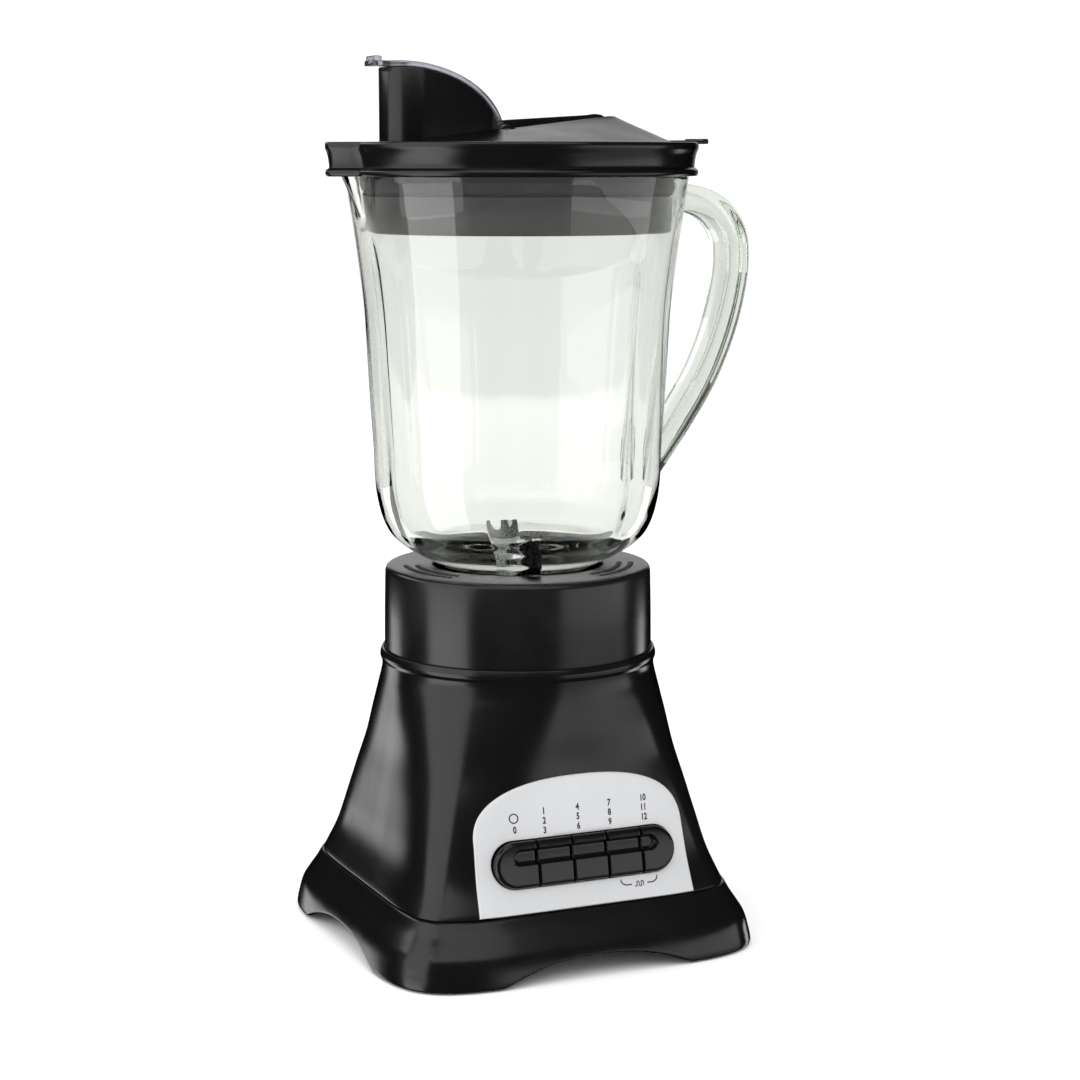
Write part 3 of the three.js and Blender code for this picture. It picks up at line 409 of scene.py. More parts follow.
def stadium(half, rise, count=24):
    """A round-ended slot outline, half long and rise high each way."""
    turn = np.linspace(-math.pi / 2, math.pi / 2, count)
    right = np.stack([half - rise + rise * np.cos(turn), rise * np.sin(turn)], -1)
    return np.concatenate([right, -right])


def key_slot(margin, front, back):
    """The opening for the keys as a solid, with a margin round them."""
    outline = stadium(key_bank_half + margin, key_bank_rise + margin)
    return skin([on_slope(level(outline, w)) for w in (back, front)])


post_pitch, post_radius = 47.0, 4.5
post_top, screw_bore = 73, 1.9
peg_x, peg_y, peg_radius = 36.0, 13.0, 4
plate_low, plate_top = heights("base_plate")
bracket_top = 99.3
quarters = [(1, 1), (-1, 1), (-1, -1), (1, -1)]
post = rounded([(screw_bore, plate_top + 0.3, 0.2), (post_radius, plate_top + 0.3, 0.2),
                (post_radius, post_top, 0.2), (0, post_top, 0.2), (0, 26, 0.2),
                (screw_bore, 25.5, 0.2)], False)
posts = []
for sx, sy in quarters:
    posts += [turned(post, False, 24, sx * post_pitch, sy * post_pitch),
              rod(peg_radius, bracket_top + 0.3, deck_top - 1, 24, sx * peg_x, sy * peg_y)]


def block(x0, x1, y0, y1, z0, z1, edge=0.4, turn=0.0):
    """A bar with rounded edges, turned about the motor axis by an angle."""
    def section(inset):
        corners = [(x0 + inset, y0 + inset, edge), (x1 - inset, y0 + inset, edge),
                   (x1 - inset, y1 - inset, edge), (x0 + inset, y1 - inset, edge)]
        return rounded(corners, steps=3)
    levels = [(edge, z0), (edge * 0.3, z0 + edge * 0.3), (0, z0 + edge), (0, z1 - edge),
              (edge * 0.3, z1 - edge * 0.3), (edge, z1)]
    rings = np.array([level(section(inset), z) for inset, z in levels])
    c, s = math.cos(turn), math.sin(turn)
    return skin(rings @ np.array([[c, s, 0], [-s, c, 0], [0, 0, 1]]))


lugs = [block(46, 51, -4, 4, deck_top - 1, deck_top + 4, 0.8, math.radians(45 + 90 * i)) for i in range(4)]
combined(housing, [merged(posts), merged(lugs)], "UNION")
gland_height = 42.0
gland_hole = [(6.3, -3), (6.3, 30)]


def rearward(shape, start, height):
    """A piece turned round +Z, laid to point out of the back from a start."""
    vertices, faces = shape
    x, y, z = vertices.T
    return np.stack([x, z + start, height - y], -1), faces


combined(housing, [key_slot(key_gap / 2, 12, -12), rearward(turned(gland_hole, False, 48), 55, gland_height)])
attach(housing, "base")
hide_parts("upper_housing")

# ---- foot skirt ----
# A second gloss black moulding under the seam. It flares out to four rolled feet, and each side is arched
# between them so that air reaches the motor.
skirt_seam = seam - 0.3
foot_half = 84.3
foot_lift = heights("foot_skirt")[0]
arch_half, arch_rise = 43.0, 9.4
skirt_wall = 2.6
foot_squareness = 5.4
skirt_outside = smooth([
    (foot_half - 0.1, 0.9), (foot_half, 1.7), (foot_half - 0.3, 4.4), (foot_half - 1.1, 8),
    (foot_half - 3.0, 13.4), (foot_half - 5.3, 17.2), (foot_half - 8.6, 22.4),
    (seam_half + 0.8, skirt_seam - 0.3)], 8)


def skirt_squareness(height):
    return np.interp(height, [7, 27], [foot_squareness, seam_squareness])


def arch(distance):
    """Height of the skirt's lower edge at a distance from the middle of a side."""
    share = np.clip(1 - (distance / arch_half) ** 2.6, 0, 1)
    return foot_lift + (arch_rise - foot_lift) * share**1.2


def foot_skirt():
    turn = np.arange(4 * sides // 3) * 2 * math.pi / (4 * sides // 3)
    c, s = np.cos(turn), np.sin(turn)
    off_middle = foot_half * np.minimum(np.abs(c), np.abs(s)) / np.maximum(np.abs(c), np.abs(s))
    lower = arch(off_middle)

    def ring(radius, height):
        n = skirt_squareness(height)
        reach = radius * (np.abs(c) ** n + np.abs(s) ** n) ** (-1 / n)
        return np.stack([c * reach, s * reach, height], -1)

    def outside(height):
        return np.interp(height, skirt_outside[:, 1], skirt_outside[:, 0])

    rings = []
    for share in np.linspace(0, 1, 40):
        height = lower + 0.6 + (skirt_seam - 0.3 - lower - 0.6) * share
        rings.append(ring(outside(height), height))
    ledge = seam_half - 4.5
    for radius, height in [(seam_half + 0.45, skirt_seam), (ledge, skirt_seam), (ledge, skirt_seam - 2.4)]:
        rings.append(ring(np.full_like(turn, radius), np.full_like(turn, height)))
    for share in np.linspace(0, 1, 14):
        height = skirt_seam - 2.6 + (lower + 1.0 - skirt_seam + 2.6) * share
        rings.append(ring(np.minimum(outside(height) - skirt_wall, ledge + 30 * share), height))
    for inward, up in [(2.4, 0.5), (2.1, 0.12), (1.7, 0.0), (0.6, 0.0), (0.3, 0.08), (0.1, 0.3)]:
        rings.append(ring(outside(lower + 0.6) - inward, lower + up))
    return skin(rings, True)


skirt = made_piece("foot_skirt_shell", [foot_skirt()], housing_black)
tongue = [(2.8, -3), (2.8, 3.4), (4.8, 3.4), (4.8, -3)]
tongue_rings = [squared_ring(housing_at(skirt_seam + z, inset)[0], skirt_seam + z, seam_squareness)
                for inset, z in tongue]
combined(skirt, [skin(tongue_rings, True)], "UNION")
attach(skirt, "base")
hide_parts("foot_skirt")

# ---- base plate, feet and screws ----
# The motor base is closed from below by a black moulded plate with a row of air slots. Four zinc-plated
# screws hold it, and it stands on four black rubber feet that are glued into the corners.
def moulded_black(name):
    """Unpolished black plastic with a spark-eroded grain."""
    finish = Finish(name, IOR=1.48)
    grain = finish.noise(1500, 3)
    finish.set("Base Color", finish.mixed(finish.noise(90), (0.012, 0.012, 0.013), (0.02, 0.02, 0.021)))
    finish.set("Roughness", finish.ramp(grain, 0.42, 0.58, 0.3, 0.7))
    finish.bumped(grain, 0.00006, 0.5)
    return finish.material


def rubber(name):
    """Black moulded rubber: dull, with a dusty bloom."""
    finish = Finish(name, IOR=1.45)
    bloom = finish.ramp(finish.noise(220, 4), 0, 1, 0.45, 0.75)
    finish.set("Base Color", finish.mixed(bloom, (0.014, 0.014, 0.014), (0.035, 0.035, 0.034)))
    finish.set("Roughness", finish.ramp(bloom, 0.68, 0.85))
    finish.bumped(finish.noise(1800, 3), 0.00005, 0.6)
    return finish.material


def zinc_plate(name):
    """Bright zinc plating over steel, with the cloudy spangle of the bath."""
    finish = Finish(name, Metallic=1.0)
    cloud = finish.cells(420, "Distance")
    finish.set("Base Color", finish.mixed(cloud, (0.52, 0.53, 0.55), (0.72, 0.73, 0.74)))
    finish.set("Roughness", finish.ramp(finish.noise(300, 3), 0.28, 0.45, 0.3, 0.7))
    return finish.material


plate_black = moulded_black("plate_moulded_black")
foot_rubber = rubber("foot_rubber")
plated_zinc = zinc_plate("zinc_plating")
plate_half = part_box("base_plate")[1].y / mm
plate_rows = [(0.01, plate_low), (plate_half - 0.8, plate_low), (plate_half - 0.2, plate_low + 0.3),
              (plate_half, plate_low + 0.9), (plate_half, plate_top - 0.5), (plate_half - 0.5, plate_top),
              (0.01, plate_top)]
plate_rings = [squared_ring(r, z, foot_squareness) for r, z in plate_rows]
plate = made_piece("base_cover_plate", [skin(plate_rings)], plate_black)
slots = [block(7 * i - 1.6, 7 * i + 1.6, -22, 22, plate_low - 1, plate_top + 1, 1.5) for i in range(-4, 5)]
screw_places = [(sx * post_pitch, sy * post_pitch) for sx, sy in quarters]
screw_holes = [rod(screw_bore, plate_low - 1, plate_top + 1, 24, x, y) for x, y in screw_places]
combined(plate, [merged([*slots, *screw_holes])])
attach(plate, "base")
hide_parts("base_plate")

foot_top = heights("rubber_foot_1")[1]
foot_pitch = 61.0
foot_profile = rounded([
    (0, 0.5), (2.2, 0.5, 0.2), (2.6, 0, 0.2), (4.4, 0, 0.2), (4.8, 0.5, 0.2), (6.2, 0.5, 0.2),
    (6.6, 0, 0.2), (8.2, 0, 0.4), (9.0, 1.2, 0.6), (8.2, foot_top, 0.4), (0, foot_top)], False)
screw_seat, screw_tip = plate_low - 0.3, plate_top + 13
screw_rows = [(0, screw_seat - 2.4), (2.4, screw_seat - 2.4, 0.4), (3.2, screw_seat - 1.5, 0.5),
              (3.2, screw_seat, 0.1), (1.5, screw_seat, 0.2)]
thread_step = 0.55
threads = [(1.6 - 0.35 * (i % 2), screw_seat + 1 + thread_step * i)
           for i in range(int((screw_tip - screw_seat - 3) / thread_step))]
screw_profile = rounded([*screw_rows, *threads, (0, screw_tip)], False)
slot_long, slot_wide, slot_depth = 1.5, 0.35, screw_seat - 1.1
for number, (sx, sy) in enumerate(quarters, 1):
    pad = turned(foot_profile, False, 64, sx * foot_pitch, sy * foot_pitch)
    foot = made_piece(f"foot_pad_{number}", [pad], foot_rubber)
    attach(foot, "base")
    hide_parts(f"rubber_foot_{number}")

    x, y = screw_places[number - 1]
    screw = made_piece(f"cross_screw_{number}", [turned(screw_profile, False, 32, x, y)], plated_zinc)
    combined(screw, [block(x - across, x + across, y - deep, y + deep, screw_seat - 3, slot_depth, 0.15)
                     for across, deep in [(slot_long, slot_wide), (slot_wide, slot_long)]])
    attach(screw, "base")
    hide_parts(f"base_screw_{number}")

# ---- control panel ----
# A thin silver-painted plastic plate, arched at the top, that follows the housing's front and is clipped on.
# It is printed in dark grey: a ring over the off key, speed numbers over the others, a bracket under two.
panel_lift, panel_back = 1.5, 0.3
panel_bottom, panel_shoulder, panel_crown = seam + 0.5, seam + 27.7, 26.0
panel_foot_half, panel_arch_half = 48.5, 47.0


def on_wall(x, z, lift):
    """A point on the housing's front at x and height z, lifted off it along its normal."""
    def depth(x, z):
        half, n = housing_at(z)
        return -half * np.maximum(1 - np.abs(x / half) ** n, 0) ** (1 / n)
    step = 0.05
    y = depth(x, z)
    across = (depth(x + step, z) - depth(x - step, z)) / (2 * step)
    upward = (depth(x, z + step) - depth(x, z - step)) / (2 * step)
    normal = np.stack([across, -np.ones_like(y), upward], -1)
    normal /= np.linalg.norm(normal, axis=-1, keepdims=True)
    return np.stack([x, y, z + 0 * x], -1) + normal * np.asarray(lift)[..., None]


def silver_paint():
    """Silver lacquer: fine flakes under a satin clear coat."""
    finish = Finish("panel_silver", IOR=1.5, Coat_Roughness=0.25, Coat_Weight=0.3)
    flake = finish.cells(5200, "Color")
    sparkle = finish.ramp(finish.node("ShaderNodeSeparateColor", {}, {"Color": flake}, "Red"), 0, 1, 0.1, 0.9)
    finish.set("Base Color", finish.mixed(sparkle, (0.52, 0.525, 0.535), (0.575, 0.58, 0.59)))
    finish.set("Metallic", sparkle * 0.2)
    finish.set("Roughness", finish.ramp(finish.noise(40, 3), 0.3, 0.4, 0.3, 0.7))
    finish.bumped(finish.noise(900, 2), 0.00002, 0.3)
    return finish.material


def panel_outline():
    """Matching points round the key opening and round the panel's edge."""
    turn = np.linspace(0, math.pi, 91)
    n = 2.4
    reach = (np.abs(np.cos(turn)) ** n + np.sin(turn) ** n) ** (-1 / n)
    crown = np.stack([panel_arch_half * np.cos(turn) * reach,
                      panel_shoulder + panel_crown * np.sin(turn) * reach], -1)
    side = np.linspace(0, 1, 24, endpoint=False)[:, None]
    right = (1 - side) * (panel_foot_half, panel_bottom) + side * crown[0]
    base = (1 - side) * (-panel_foot_half, panel_bottom) + side * (panel_foot_half, panel_bottom)
    left = (1 - side) * crown[-1] + side * (-panel_foot_half, panel_bottom)
    outer = np.concatenate([right, crown[:-1], left, base])
    way = outer - (0, key_height)
    way /= np.linalg.norm(way, axis=1, keepdims=True)
    c, s = np.abs(way[:, 0]), np.abs(way[:, 1]) / math.cos(slope)
    half, rise = key_bank_half + key_gap / 2, key_bank_rise + key_gap / 2
    straight = half - rise
    flat = rise / np.maximum(s, 1e-6)
    norm = c**2 + s**2
    beyond = np.maximum((straight * c) ** 2 - norm * (straight**2 - rise**2), 0)
    round_end = (straight * c + np.sqrt(beyond)) / norm
    distance = np.where(flat * c <= straight, flat, round_end)
    return way * distance[:, None] + (0, key_height), outer


panel_silver = silver_paint()
opening, edge = panel_outline()
edge_way = (edge - opening) / np.linalg.norm(edge - opening, axis=1, keepdims=True)
panel_section = [(0.0, 0.0, panel_back), (0.0, 0.0, panel_lift - 0.5), (0.0, 0.12, panel_lift - 0.14),
                 (0.0, 0.4, panel_lift)]
panel_section += [(share, 0.0, panel_lift) for share in np.linspace(0.08, 0.92, 12)]
panel_section += [(1.0, -0.7, panel_lift), (1.0, -0.35, panel_lift - 0.1), (1.0, -0.1, panel_lift - 0.35),
                  (1.0, 0.0, panel_lift - 0.7), (1.0, 0.0, panel_back), (0.5, 0.0, panel_back)]
panel_rings = []
for share, shift, lift in panel_section:
    flat = opening + (edge - opening) * share + edge_way * shift
    panel_rings.append(on_wall(flat[:, 0], flat[:, 1], np.full(len(flat), lift)))
panel = made_piece("control_panel_plate", [skin(panel_rings, True)], panel_silver)
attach(panel, "base")
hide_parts("control_panel")


def print_ink():
    """Dark grey pad-printing ink, a little thin at its edges."""
    finish = Finish("panel_ink", Roughness=0.5)
    finish.set("Base Color", finish.mixed(finish.noise(2400, 3), (0.01, 0.01, 0.012), (0.022, 0.022, 0.026)))
    return finish.material


ink_lift, ink_root = panel_lift + 0.03, panel_lift - 0.05
ink_finish = print_ink()


def stroke(line, width):
    """A printed line along points, closed into a film."""
    line = np.asarray(line, float)
    along = np.gradient(line, axis=0)
    along /= np.linalg.norm(along, axis=1, keepdims=True)
    side = np.column_stack([-along[:, 1], along[:, 0]]) * width / 2
    edges = [line + side, line - side]
    rings = [on_wall(e[:, 0], e[:, 1], np.full(len(e), lift)) for e, lift in
             [(edges[0], ink_root), (edges[0], ink_lift), (edges[1], ink_lift), (edges[1], ink_root)]]
    return skin(np.stack(rings).transpose(1, 0, 2))


def figures(text, x, z, size):
    """Printed figures with their middle at x and height z."""
    words = bpy.data.curves.new("figures", "FONT")
    words.body, words.size, words.align_x, words.align_y = text, size, "CENTER", "CENTER"
    words.resolution_u = 3
    words.extrude = 0.5
    words.offset = 0.13
    holder = bpy.data.objects.new("figures", words)
    bpy.context.collection.objects.link(holder)
    mesh = bpy.data.meshes.new_from_object(holder.evaluated_get(bpy.context.evaluated_depsgraph_get()))
    bpy.data.objects.remove(holder)
    flat = np.array([v.co for v in mesh.vertices])
    lifts = np.where(flat[:, 2] > 0, ink_lift, ink_root)
    return on_wall(x + flat[:, 0] * 0.8, z + flat[:, 1], lifts), [tuple(f.vertices) for f in mesh.polygons]


ring_turn = np.linspace(0, 2 * math.pi, 49)
off_ring = np.column_stack([-30.0 + 1.8 * np.cos(ring_turn), 65.1 + 1.8 * np.sin(ring_turn)])
figure_rows = {-16.8: 63.1, -1.6: 63.3, 12.8: 63.5, 28.6: 63.7}
figure_size, figure_step, line_width = 3.7, 3.9, 0.5
marks = [stroke(off_ring, line_width), figures("0", -29.9, 60.4, figure_size)]
for column, (x, z) in enumerate(figure_rows.items()):
    for row in range(3):
        marks.append(figures(str(3 * column + row + 1), x, z + figure_step * (1 - row), figure_size))
bracket_left = smooth([(15.2, 35.6), (15.6, 34.2), (16.8, 33.4), (20, 33.2)], 6)
bracket_right = bracket_left * (-1, 1) + (2 * 23.6, 0)
pulse = np.array([(21.4, 32.3), (22.4, 32.3), (22.4, 34.1), (23.4, 34.1), (23.4, 32.3),
                  (24.4, 32.3), (24.4, 34.1), (25.4, 34.1), (25.4, 32.3)])
for corner in [bracket_left, bracket_right]:
    marks.append(stroke(corner, line_width))
for start, end in zip(pulse[:-1], pulse[1:]):
    marks.append(stroke([start, (start + end) / 2, end], 0.42))
panel_print = made_piece("panel_print", marks, ink_finish)
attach(panel_print, "base")

# ---- keys ----
# Five gloss black keys that make one long round-ended bank: an off key at the left and four speed keys.
# A finger groove runs along their upper half. Each stem slides in the switch frame against a small spring.
key_front, key_back = 4.3, -3.2
key_edges = [-key_bank_half, -21.75, -6.05, 9.65, 25.35, key_bank_half]
key_rounding, key_side_rounding = 1.7, 0.55
groove_half, groove_rise, groove_middle, groove_depth = 32.5, 3.4, 2.9, 2.5
stem_half, stem_end = 2.2, -17.6
key_names = ["off", "speed_1", "speed_2", "speed_3", "speed_4"]
key_middles = [(start + stop) / 2 for start, stop in zip(key_edges[:-1], key_edges[1:])]
key_black = gloss_black("key_gloss_black", 0.14)


def slot_depth_at(x, v, half, rise):
    """How far a point lies inside a round-ended slot outline."""
    beyond = np.maximum(np.abs(x) - (half - rise), 0)
    return rise - np.hypot(beyond, v)


def falling(inside, radius):
    """How far a rounded edge has dropped, at a distance inside it."""
    left = np.clip(radius - inside, 0, radius)
    return radius - np.sqrt(np.maximum(radius**2 - left**2, 0))


def key(x0, x1):
    """One key of the bank between two places along it, on the slope."""
    share = np.sin(np.linspace(-math.pi / 2, math.pi / 2, 61))
    steps = np.concatenate([np.linspace(0, key_side_rounding, 5), np.linspace(key_side_rounding, 3, 6)[1:]])
    places = np.concatenate([x0 + steps, np.arange(x0 + 3.5, x1 - 3.1, 0.45), x1 - steps[::-1]])
    rings = []
    for x in places:
        beyond = max(abs(x) - (key_bank_half - key_bank_rise), 0)
        half = math.sqrt(max(key_bank_rise**2 - beyond**2, 0))
        v = share * half
        drop = falling(slot_depth_at(x, v, key_bank_half, key_bank_rise), key_rounding)
        inner = min(x - x0, x1 - x) if abs(x) < key_bank_half - key_bank_rise else 9
        drop = np.maximum(drop, falling(inner, key_side_rounding))
        dig = np.clip(slot_depth_at(x, v - groove_middle, groove_half, groove_rise) / 1.3, 0, 1)
        drop = drop + groove_depth * (1 - (1 - dig) ** 2) - 0.25 * (1 - (v / key_bank_rise) ** 2)
        front = np.column_stack([np.full(61, x), v, key_front - 0.25 - drop])
        back = [(x, half, key_back), (x, -half, key_back)]
        rings.append(np.concatenate([front, back]))
    return skin(on_slope(np.array(rings)))


for number, (name, middle) in enumerate(zip(key_names, key_middles)):
    x0 = key_edges[number] + (key_gap / 2 if number else 0.0)
    x1 = key_edges[number + 1] - (key_gap / 2 if number < 4 else 0.0)
    button = made_piece(f"{name}_key_cap", [key(x0, x1)], key_black)
    vertices, faces = block(middle - stem_half, middle + stem_half, -stem_half, stem_half, stem_end,
                            key_back + 0.5)
    combined(button, [(on_slope(vertices), faces)], "UNION", 30)
    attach(button, f"{name}_button")
    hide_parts(f"{name}_key")


def tube(path, radius, count=10):
    """A round wire or rod along a path of points."""
    path = np.asarray(path, float)
    way = np.gradient(path, axis=0)
    way /= np.linalg.norm(way, axis=1, keepdims=True)
    side = np.cross(way, (0, 0, 1.0))
    side /= np.linalg.norm(side, axis=1, keepdims=True)
    up = np.cross(side, way)
    turn = np.arange(count) * 2 * math.pi / count
    ring = side[:, None] * np.cos(turn)[:, None] + up[:, None] * np.sin(turn)[:, None]
    return skin(path[:, None] + ring * radius)


def drawn_steel(name, colour=(0.60, 0.61, 0.62), roughness=0.25):
    """Drawn or ground steel, with fine lines along it."""
    finish = Finish(name, Metallic=1.0)
    lines = finish.noise(500, 3, (1, 1, 12))
    finish.set("Base Color", finish.mixed(finish.noise(80), colour, tuple(1.12 * c for c in colour)))
    finish.set("Roughness", finish.ramp(lines, roughness - 0.06, roughness + 0.1, 0.3, 0.7))
    finish.bumped(lines, 0.00002, 0.4)
    return finish.material


spring_steel = drawn_steel("spring_steel")
spring_radius, spring_wire, spring_turns = 3.7, 0.34, 3
spring_near, spring_far = key_back - 0.65, key_back - 3.95
turn = np.linspace(0, spring_turns * 2 * math.pi, 36 * spring_turns + 1)
for name, middle in zip(key_names, key_middles):
    coil = np.stack([middle + spring_radius * np.cos(turn), spring_radius * np.sin(turn),
                     np.linspace(spring_near, spring_far, len(turn))], -1)
    spring = made_piece(f"{name}_key_coil", [tube(on_slope(coil), spring_wire)], spring_steel)
    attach(spring, "base")
    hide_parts(f"{name}_key_spring")
    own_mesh(spring)


def dress(node, finish):
    """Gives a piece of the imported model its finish."""
    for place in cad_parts[node].material_slots:
        place.material = finish


def nylon():
    """Natural nylon: milky, waxy, with a fine matt texture."""
    finish = Finish("nylon_white", Subsurface_Weight=0.15, Subsurface_Scale=0.002, IOR=1.53)
    finish.set("Base Color", finish.mixed(finish.noise(150, 3), (0.72, 0.70, 0.63), (0.80, 0.78, 0.72)))
    finish.set("Roughness", finish.ramp(finish.noise(900, 2), 0.42, 0.55, 0.3, 0.7))
    return finish.material


dress("switch_frame", nylon())
dress("latch_bar", plated_zinc)

# ---- cord gland ----
# A black rubber bush at the back, held from inside by its flange, with ribs where the lead comes through.
gland_rubber = rubber("gland_rubber")
gland_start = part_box("cord_gland")[0].y / mm
gland_long = (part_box("cord_gland")[1].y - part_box("cord_gland")[0].y) / mm
gland_rows = [(3.4, 0, 0.3), (8.4, 0, 0.5), (8.4, 3.4, 0.4), (6.0, 3.4, 0.2), (6.0, gland_long, 0.8),
              (4.0, gland_long, 0.3), (3.4, gland_long - 0.8, 0.3)]
ribs = [turned([(5.6, gland_long - 0.9 - g), (6.4, gland_long - 0.9 - g), (6.4, gland_long - 0.4 - g),
                (5.6, gland_long - 0.4 - g)], True, 64) for g in (0.6, 1.7)]
gland = made_piece("cord_bush", [rearward(turned(rounded(gland_rows), True, 64), gland_start, gland_height)],
                   gland_rubber)
combined(gland, [rearward(merged(ribs), gland_start, gland_height)])
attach(gland, "base")
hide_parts("cord_gland")

# ---- motor ----
# A universal motor stands on the base plate's brackets: a laminated iron stator with two copper field coils,
# and an armature with its commutator, carbon brushes and cooling fan on a steel shaft in two bearings.
def laminations():
    """Stacked sheets of electrical steel, varnished."""
    finish = Finish("iron_laminations", Metallic=0.85)
    sheets = finish.bands("Z", 320)
    finish.set("Base Color", finish.mixed(finish.noise(200, 3), (0.16, 0.16, 0.17), (0.26, 0.25, 0.24)))
    finish.set("Roughness", finish.ramp(sheets, 0.42, 0.58))
    finish.bumped(sheets, 0.0001, 0.6)
    return finish.material


def copper_winding():
    """Enamelled copper wire, laid in close turns under varnish, with painted shade in the grooves between the
    turns.
    """
    finish = Finish("copper_winding", Metallic=0.85, Coat_Weight=0.4, Coat_Roughness=0.2)
    turns = finish.bands("DIAGONAL", 260)
    # The same bands darken the copper in the grooves between turns: painted shade. The bump made from them is
    # real relief.
    finish.set("Base Color", finish.mixed(turns, (0.30, 0.095, 0.03), (0.72, 0.30, 0.12)))
    finish.set("Roughness", finish.ramp(finish.noise(400, 2), 0.28, 0.42, 0.3, 0.7))
    finish.bumped(turns, 0.0002, 0.7)
    return finish.material


def carbon():
    """Pressed carbon: dull, grainy and slightly crystalline."""
    finish = Finish("carbon_block", Metallic=0.2)
    grain = finish.noise(1400, 4)
    finish.set("Base Color", finish.mixed(grain, (0.018, 0.018, 0.02), (0.05, 0.05, 0.055)))
    finish.set("Roughness", finish.ramp(grain, 0.5, 0.75, 0.3, 0.7))
    finish.bumped(grain, 0.00008, 0.5)
    return finish.material


def brass(name):
    """Turned brass, slightly dulled."""
    finish = Finish(name, Metallic=1.0)
    finish.set("Base Color", finish.mixed(finish.noise(140, 3), (0.55, 0.38, 0.13), (0.72, 0.53, 0.21)))
    finish.set("Roughness", finish.ramp(finish.noise(500, 2), 0.25, 0.42, 0.3, 0.7))
    return finish.material


winding = copper_winding()
holder_brass = brass("holder_brass")
brush_carbon = carbon()
ground_steel = drawn_steel("ground_steel")
motor_finishes = {
    "upper_motor_bracket": plated_zinc, "lower_motor_bracket": plated_zinc, "stator": laminations(),
    "field_coil_1": winding, "field_coil_2": winding, "armature": winding, "commutator": holder_brass,
    "carbon_brush_1": brush_carbon, "carbon_brush_2": brush_carbon,
    "brush_holder_1": holder_brass, "brush_holder_2": holder_brass,
    "upper_bearing": ground_steel, "lower_bearing": ground_steel, "motor_shaft": ground_steel,
    "cooling_fan": moulded_black("fan_moulded_black"),
}
for node, finish in motor_finishes.items():
    dress(node, finish)

# ---- drive coupling ----
# A hard black socket on the motor shaft stands up in the middle of the deck. Its star-shaped hollow drives
# the plated star on the cutter's shaft when the jar is set down.
drive_low, drive_high = heights("drive_coupling")
coupling_radius = 13.0
shaft_bore = 4.3


def star(radius, low, high, valley=2.0):
    """An eight-pointed star between two heights."""
    points = [((radius - valley * (i % 2)) * math.cos(math.pi * i / 8),
               (radius - valley * (i % 2)) * math.sin(math.pi * i / 8), 0.5) for i in range(16)]
    outline = rounded(points, steps=3)
    return skin([level(outline, z) for z in (low, high)])


coupling_rows = [(0, drive_low), (8, drive_low, 0.4), (8, deck_under - 3.4, 1),
                 (coupling_radius, deck_under - 2.4, 0.6), (coupling_radius, drive_high, 1.0),
                 (9.6, drive_high, 0.4), (9.2, drive_high - 0.6, 0.2),
                 (0, drive_high - 0.6)]
coupling = made_piece("drive_socket", [turned(rounded(coupling_rows, False), False, 96)],
                      moulded_black("coupling_moulded_black"))
combined(coupling, [star(9.0, deck_top - 1.8, drive_high + 2), rod(shaft_bore, drive_low - 1, deck_top - 1)])
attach(coupling, "rotor")
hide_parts("drive_coupling")

driven_low, driven_high = heights("driven_coupling")
driven = made_piece("driven_star", [star(8.6, driven_low, driven_high)], plated_zinc)
combined(driven, [rod(shaft_bore, driven_low - 1, driven_high + 1)])
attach(driven, "cutter")
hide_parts("driven_coupling")

# ---- jar collar ----
# A satin black ring that screws onto the glass neck from below and clamps the cutter, its gasket and the jar
# together. Its skirt drops into the base's rim. Short raised ribs on its top show which way to turn it.
def satin_black(name):
    """Black plastic with a fine satin texture, rubbed a little brighter by hands."""
    finish = Finish(name, IOR=1.5)
    rubbed = finish.ramp(finish.noise(35, 3), 0, 1, 0.4, 0.7)
    finish.set("Base Color", finish.mixed(rubbed, (0.006, 0.006, 0.0065), (0.011, 0.011, 0.012)))
    finish.set("Roughness", finish.ramp(rubbed, 0.21, 0.27))
    finish.bumped(finish.noise(2200, 2), 0.00002, 0.35)
    return finish.material


collar_satin = satin_black("collar_satin_black")
collar_low, collar_top = heights("jar_collar")
collar_taper, collar_edge, sleeve_radius = 0.6, 3.2, 36.5
ledge = collar_low + 13.7
collar_rows = [
    (collar_radius, collar_low, 0.5), (collar_radius - 0.2, collar_low + 22, 4),
    (collar_radius - collar_taper, collar_top, collar_edge), (sleeve_radius + 0.6, collar_top, 0.5),
    (sleeve_radius, collar_top - 0.9, 0.5), (sleeve_radius, ledge, 0.4), (27.3, ledge, 0.3),
    (27.3, ledge - 2.6, 0.3),
    (sleeve_radius + 2.6, ledge - 2.6, 0.6), (sleeve_radius + 2.6, collar_top - 2.6, 0.8),
    (collar_radius - 4.7, collar_top - 2.6, 1.0), (collar_radius - 2.5, collar_top - 6, 1.0),
    (collar_radius - 2.5, collar_low, 0.4),
]
collar = made_piece("collar_ring", [turned(rounded(collar_rows))], collar_satin)
turn_ribs = []
for start, stop in [(168, 214), (292, 338), (48, 94)]:
    for radius in (43.5, 48.5):
        for bearing in np.arange(start, stop, 3.3):
            turn_ribs.append(block(radius - 1.2, radius + 1.2, -0.55, 0.55, collar_top - 0.5,
                                   collar_top + 0.45, 0.3, math.radians(bearing)))
combined(collar, [merged(turn_ribs)], "UNION")
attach(collar, "jar")
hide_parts("jar_collar")

gasket_low, gasket_high = heights("jar_gasket")
gasket_rows = [(28.2, gasket_low, 0.4), (34.8, gasket_low, 0.4), (34.8, gasket_high, 0.4),
               (28.2, gasket_high, 0.4)]
gasket = made_piece("neck_gasket", [turned(rounded(gasket_rows), True, 144)], rubber("gasket_rubber"))
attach(gasket, "jar")
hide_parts("jar_gasket")

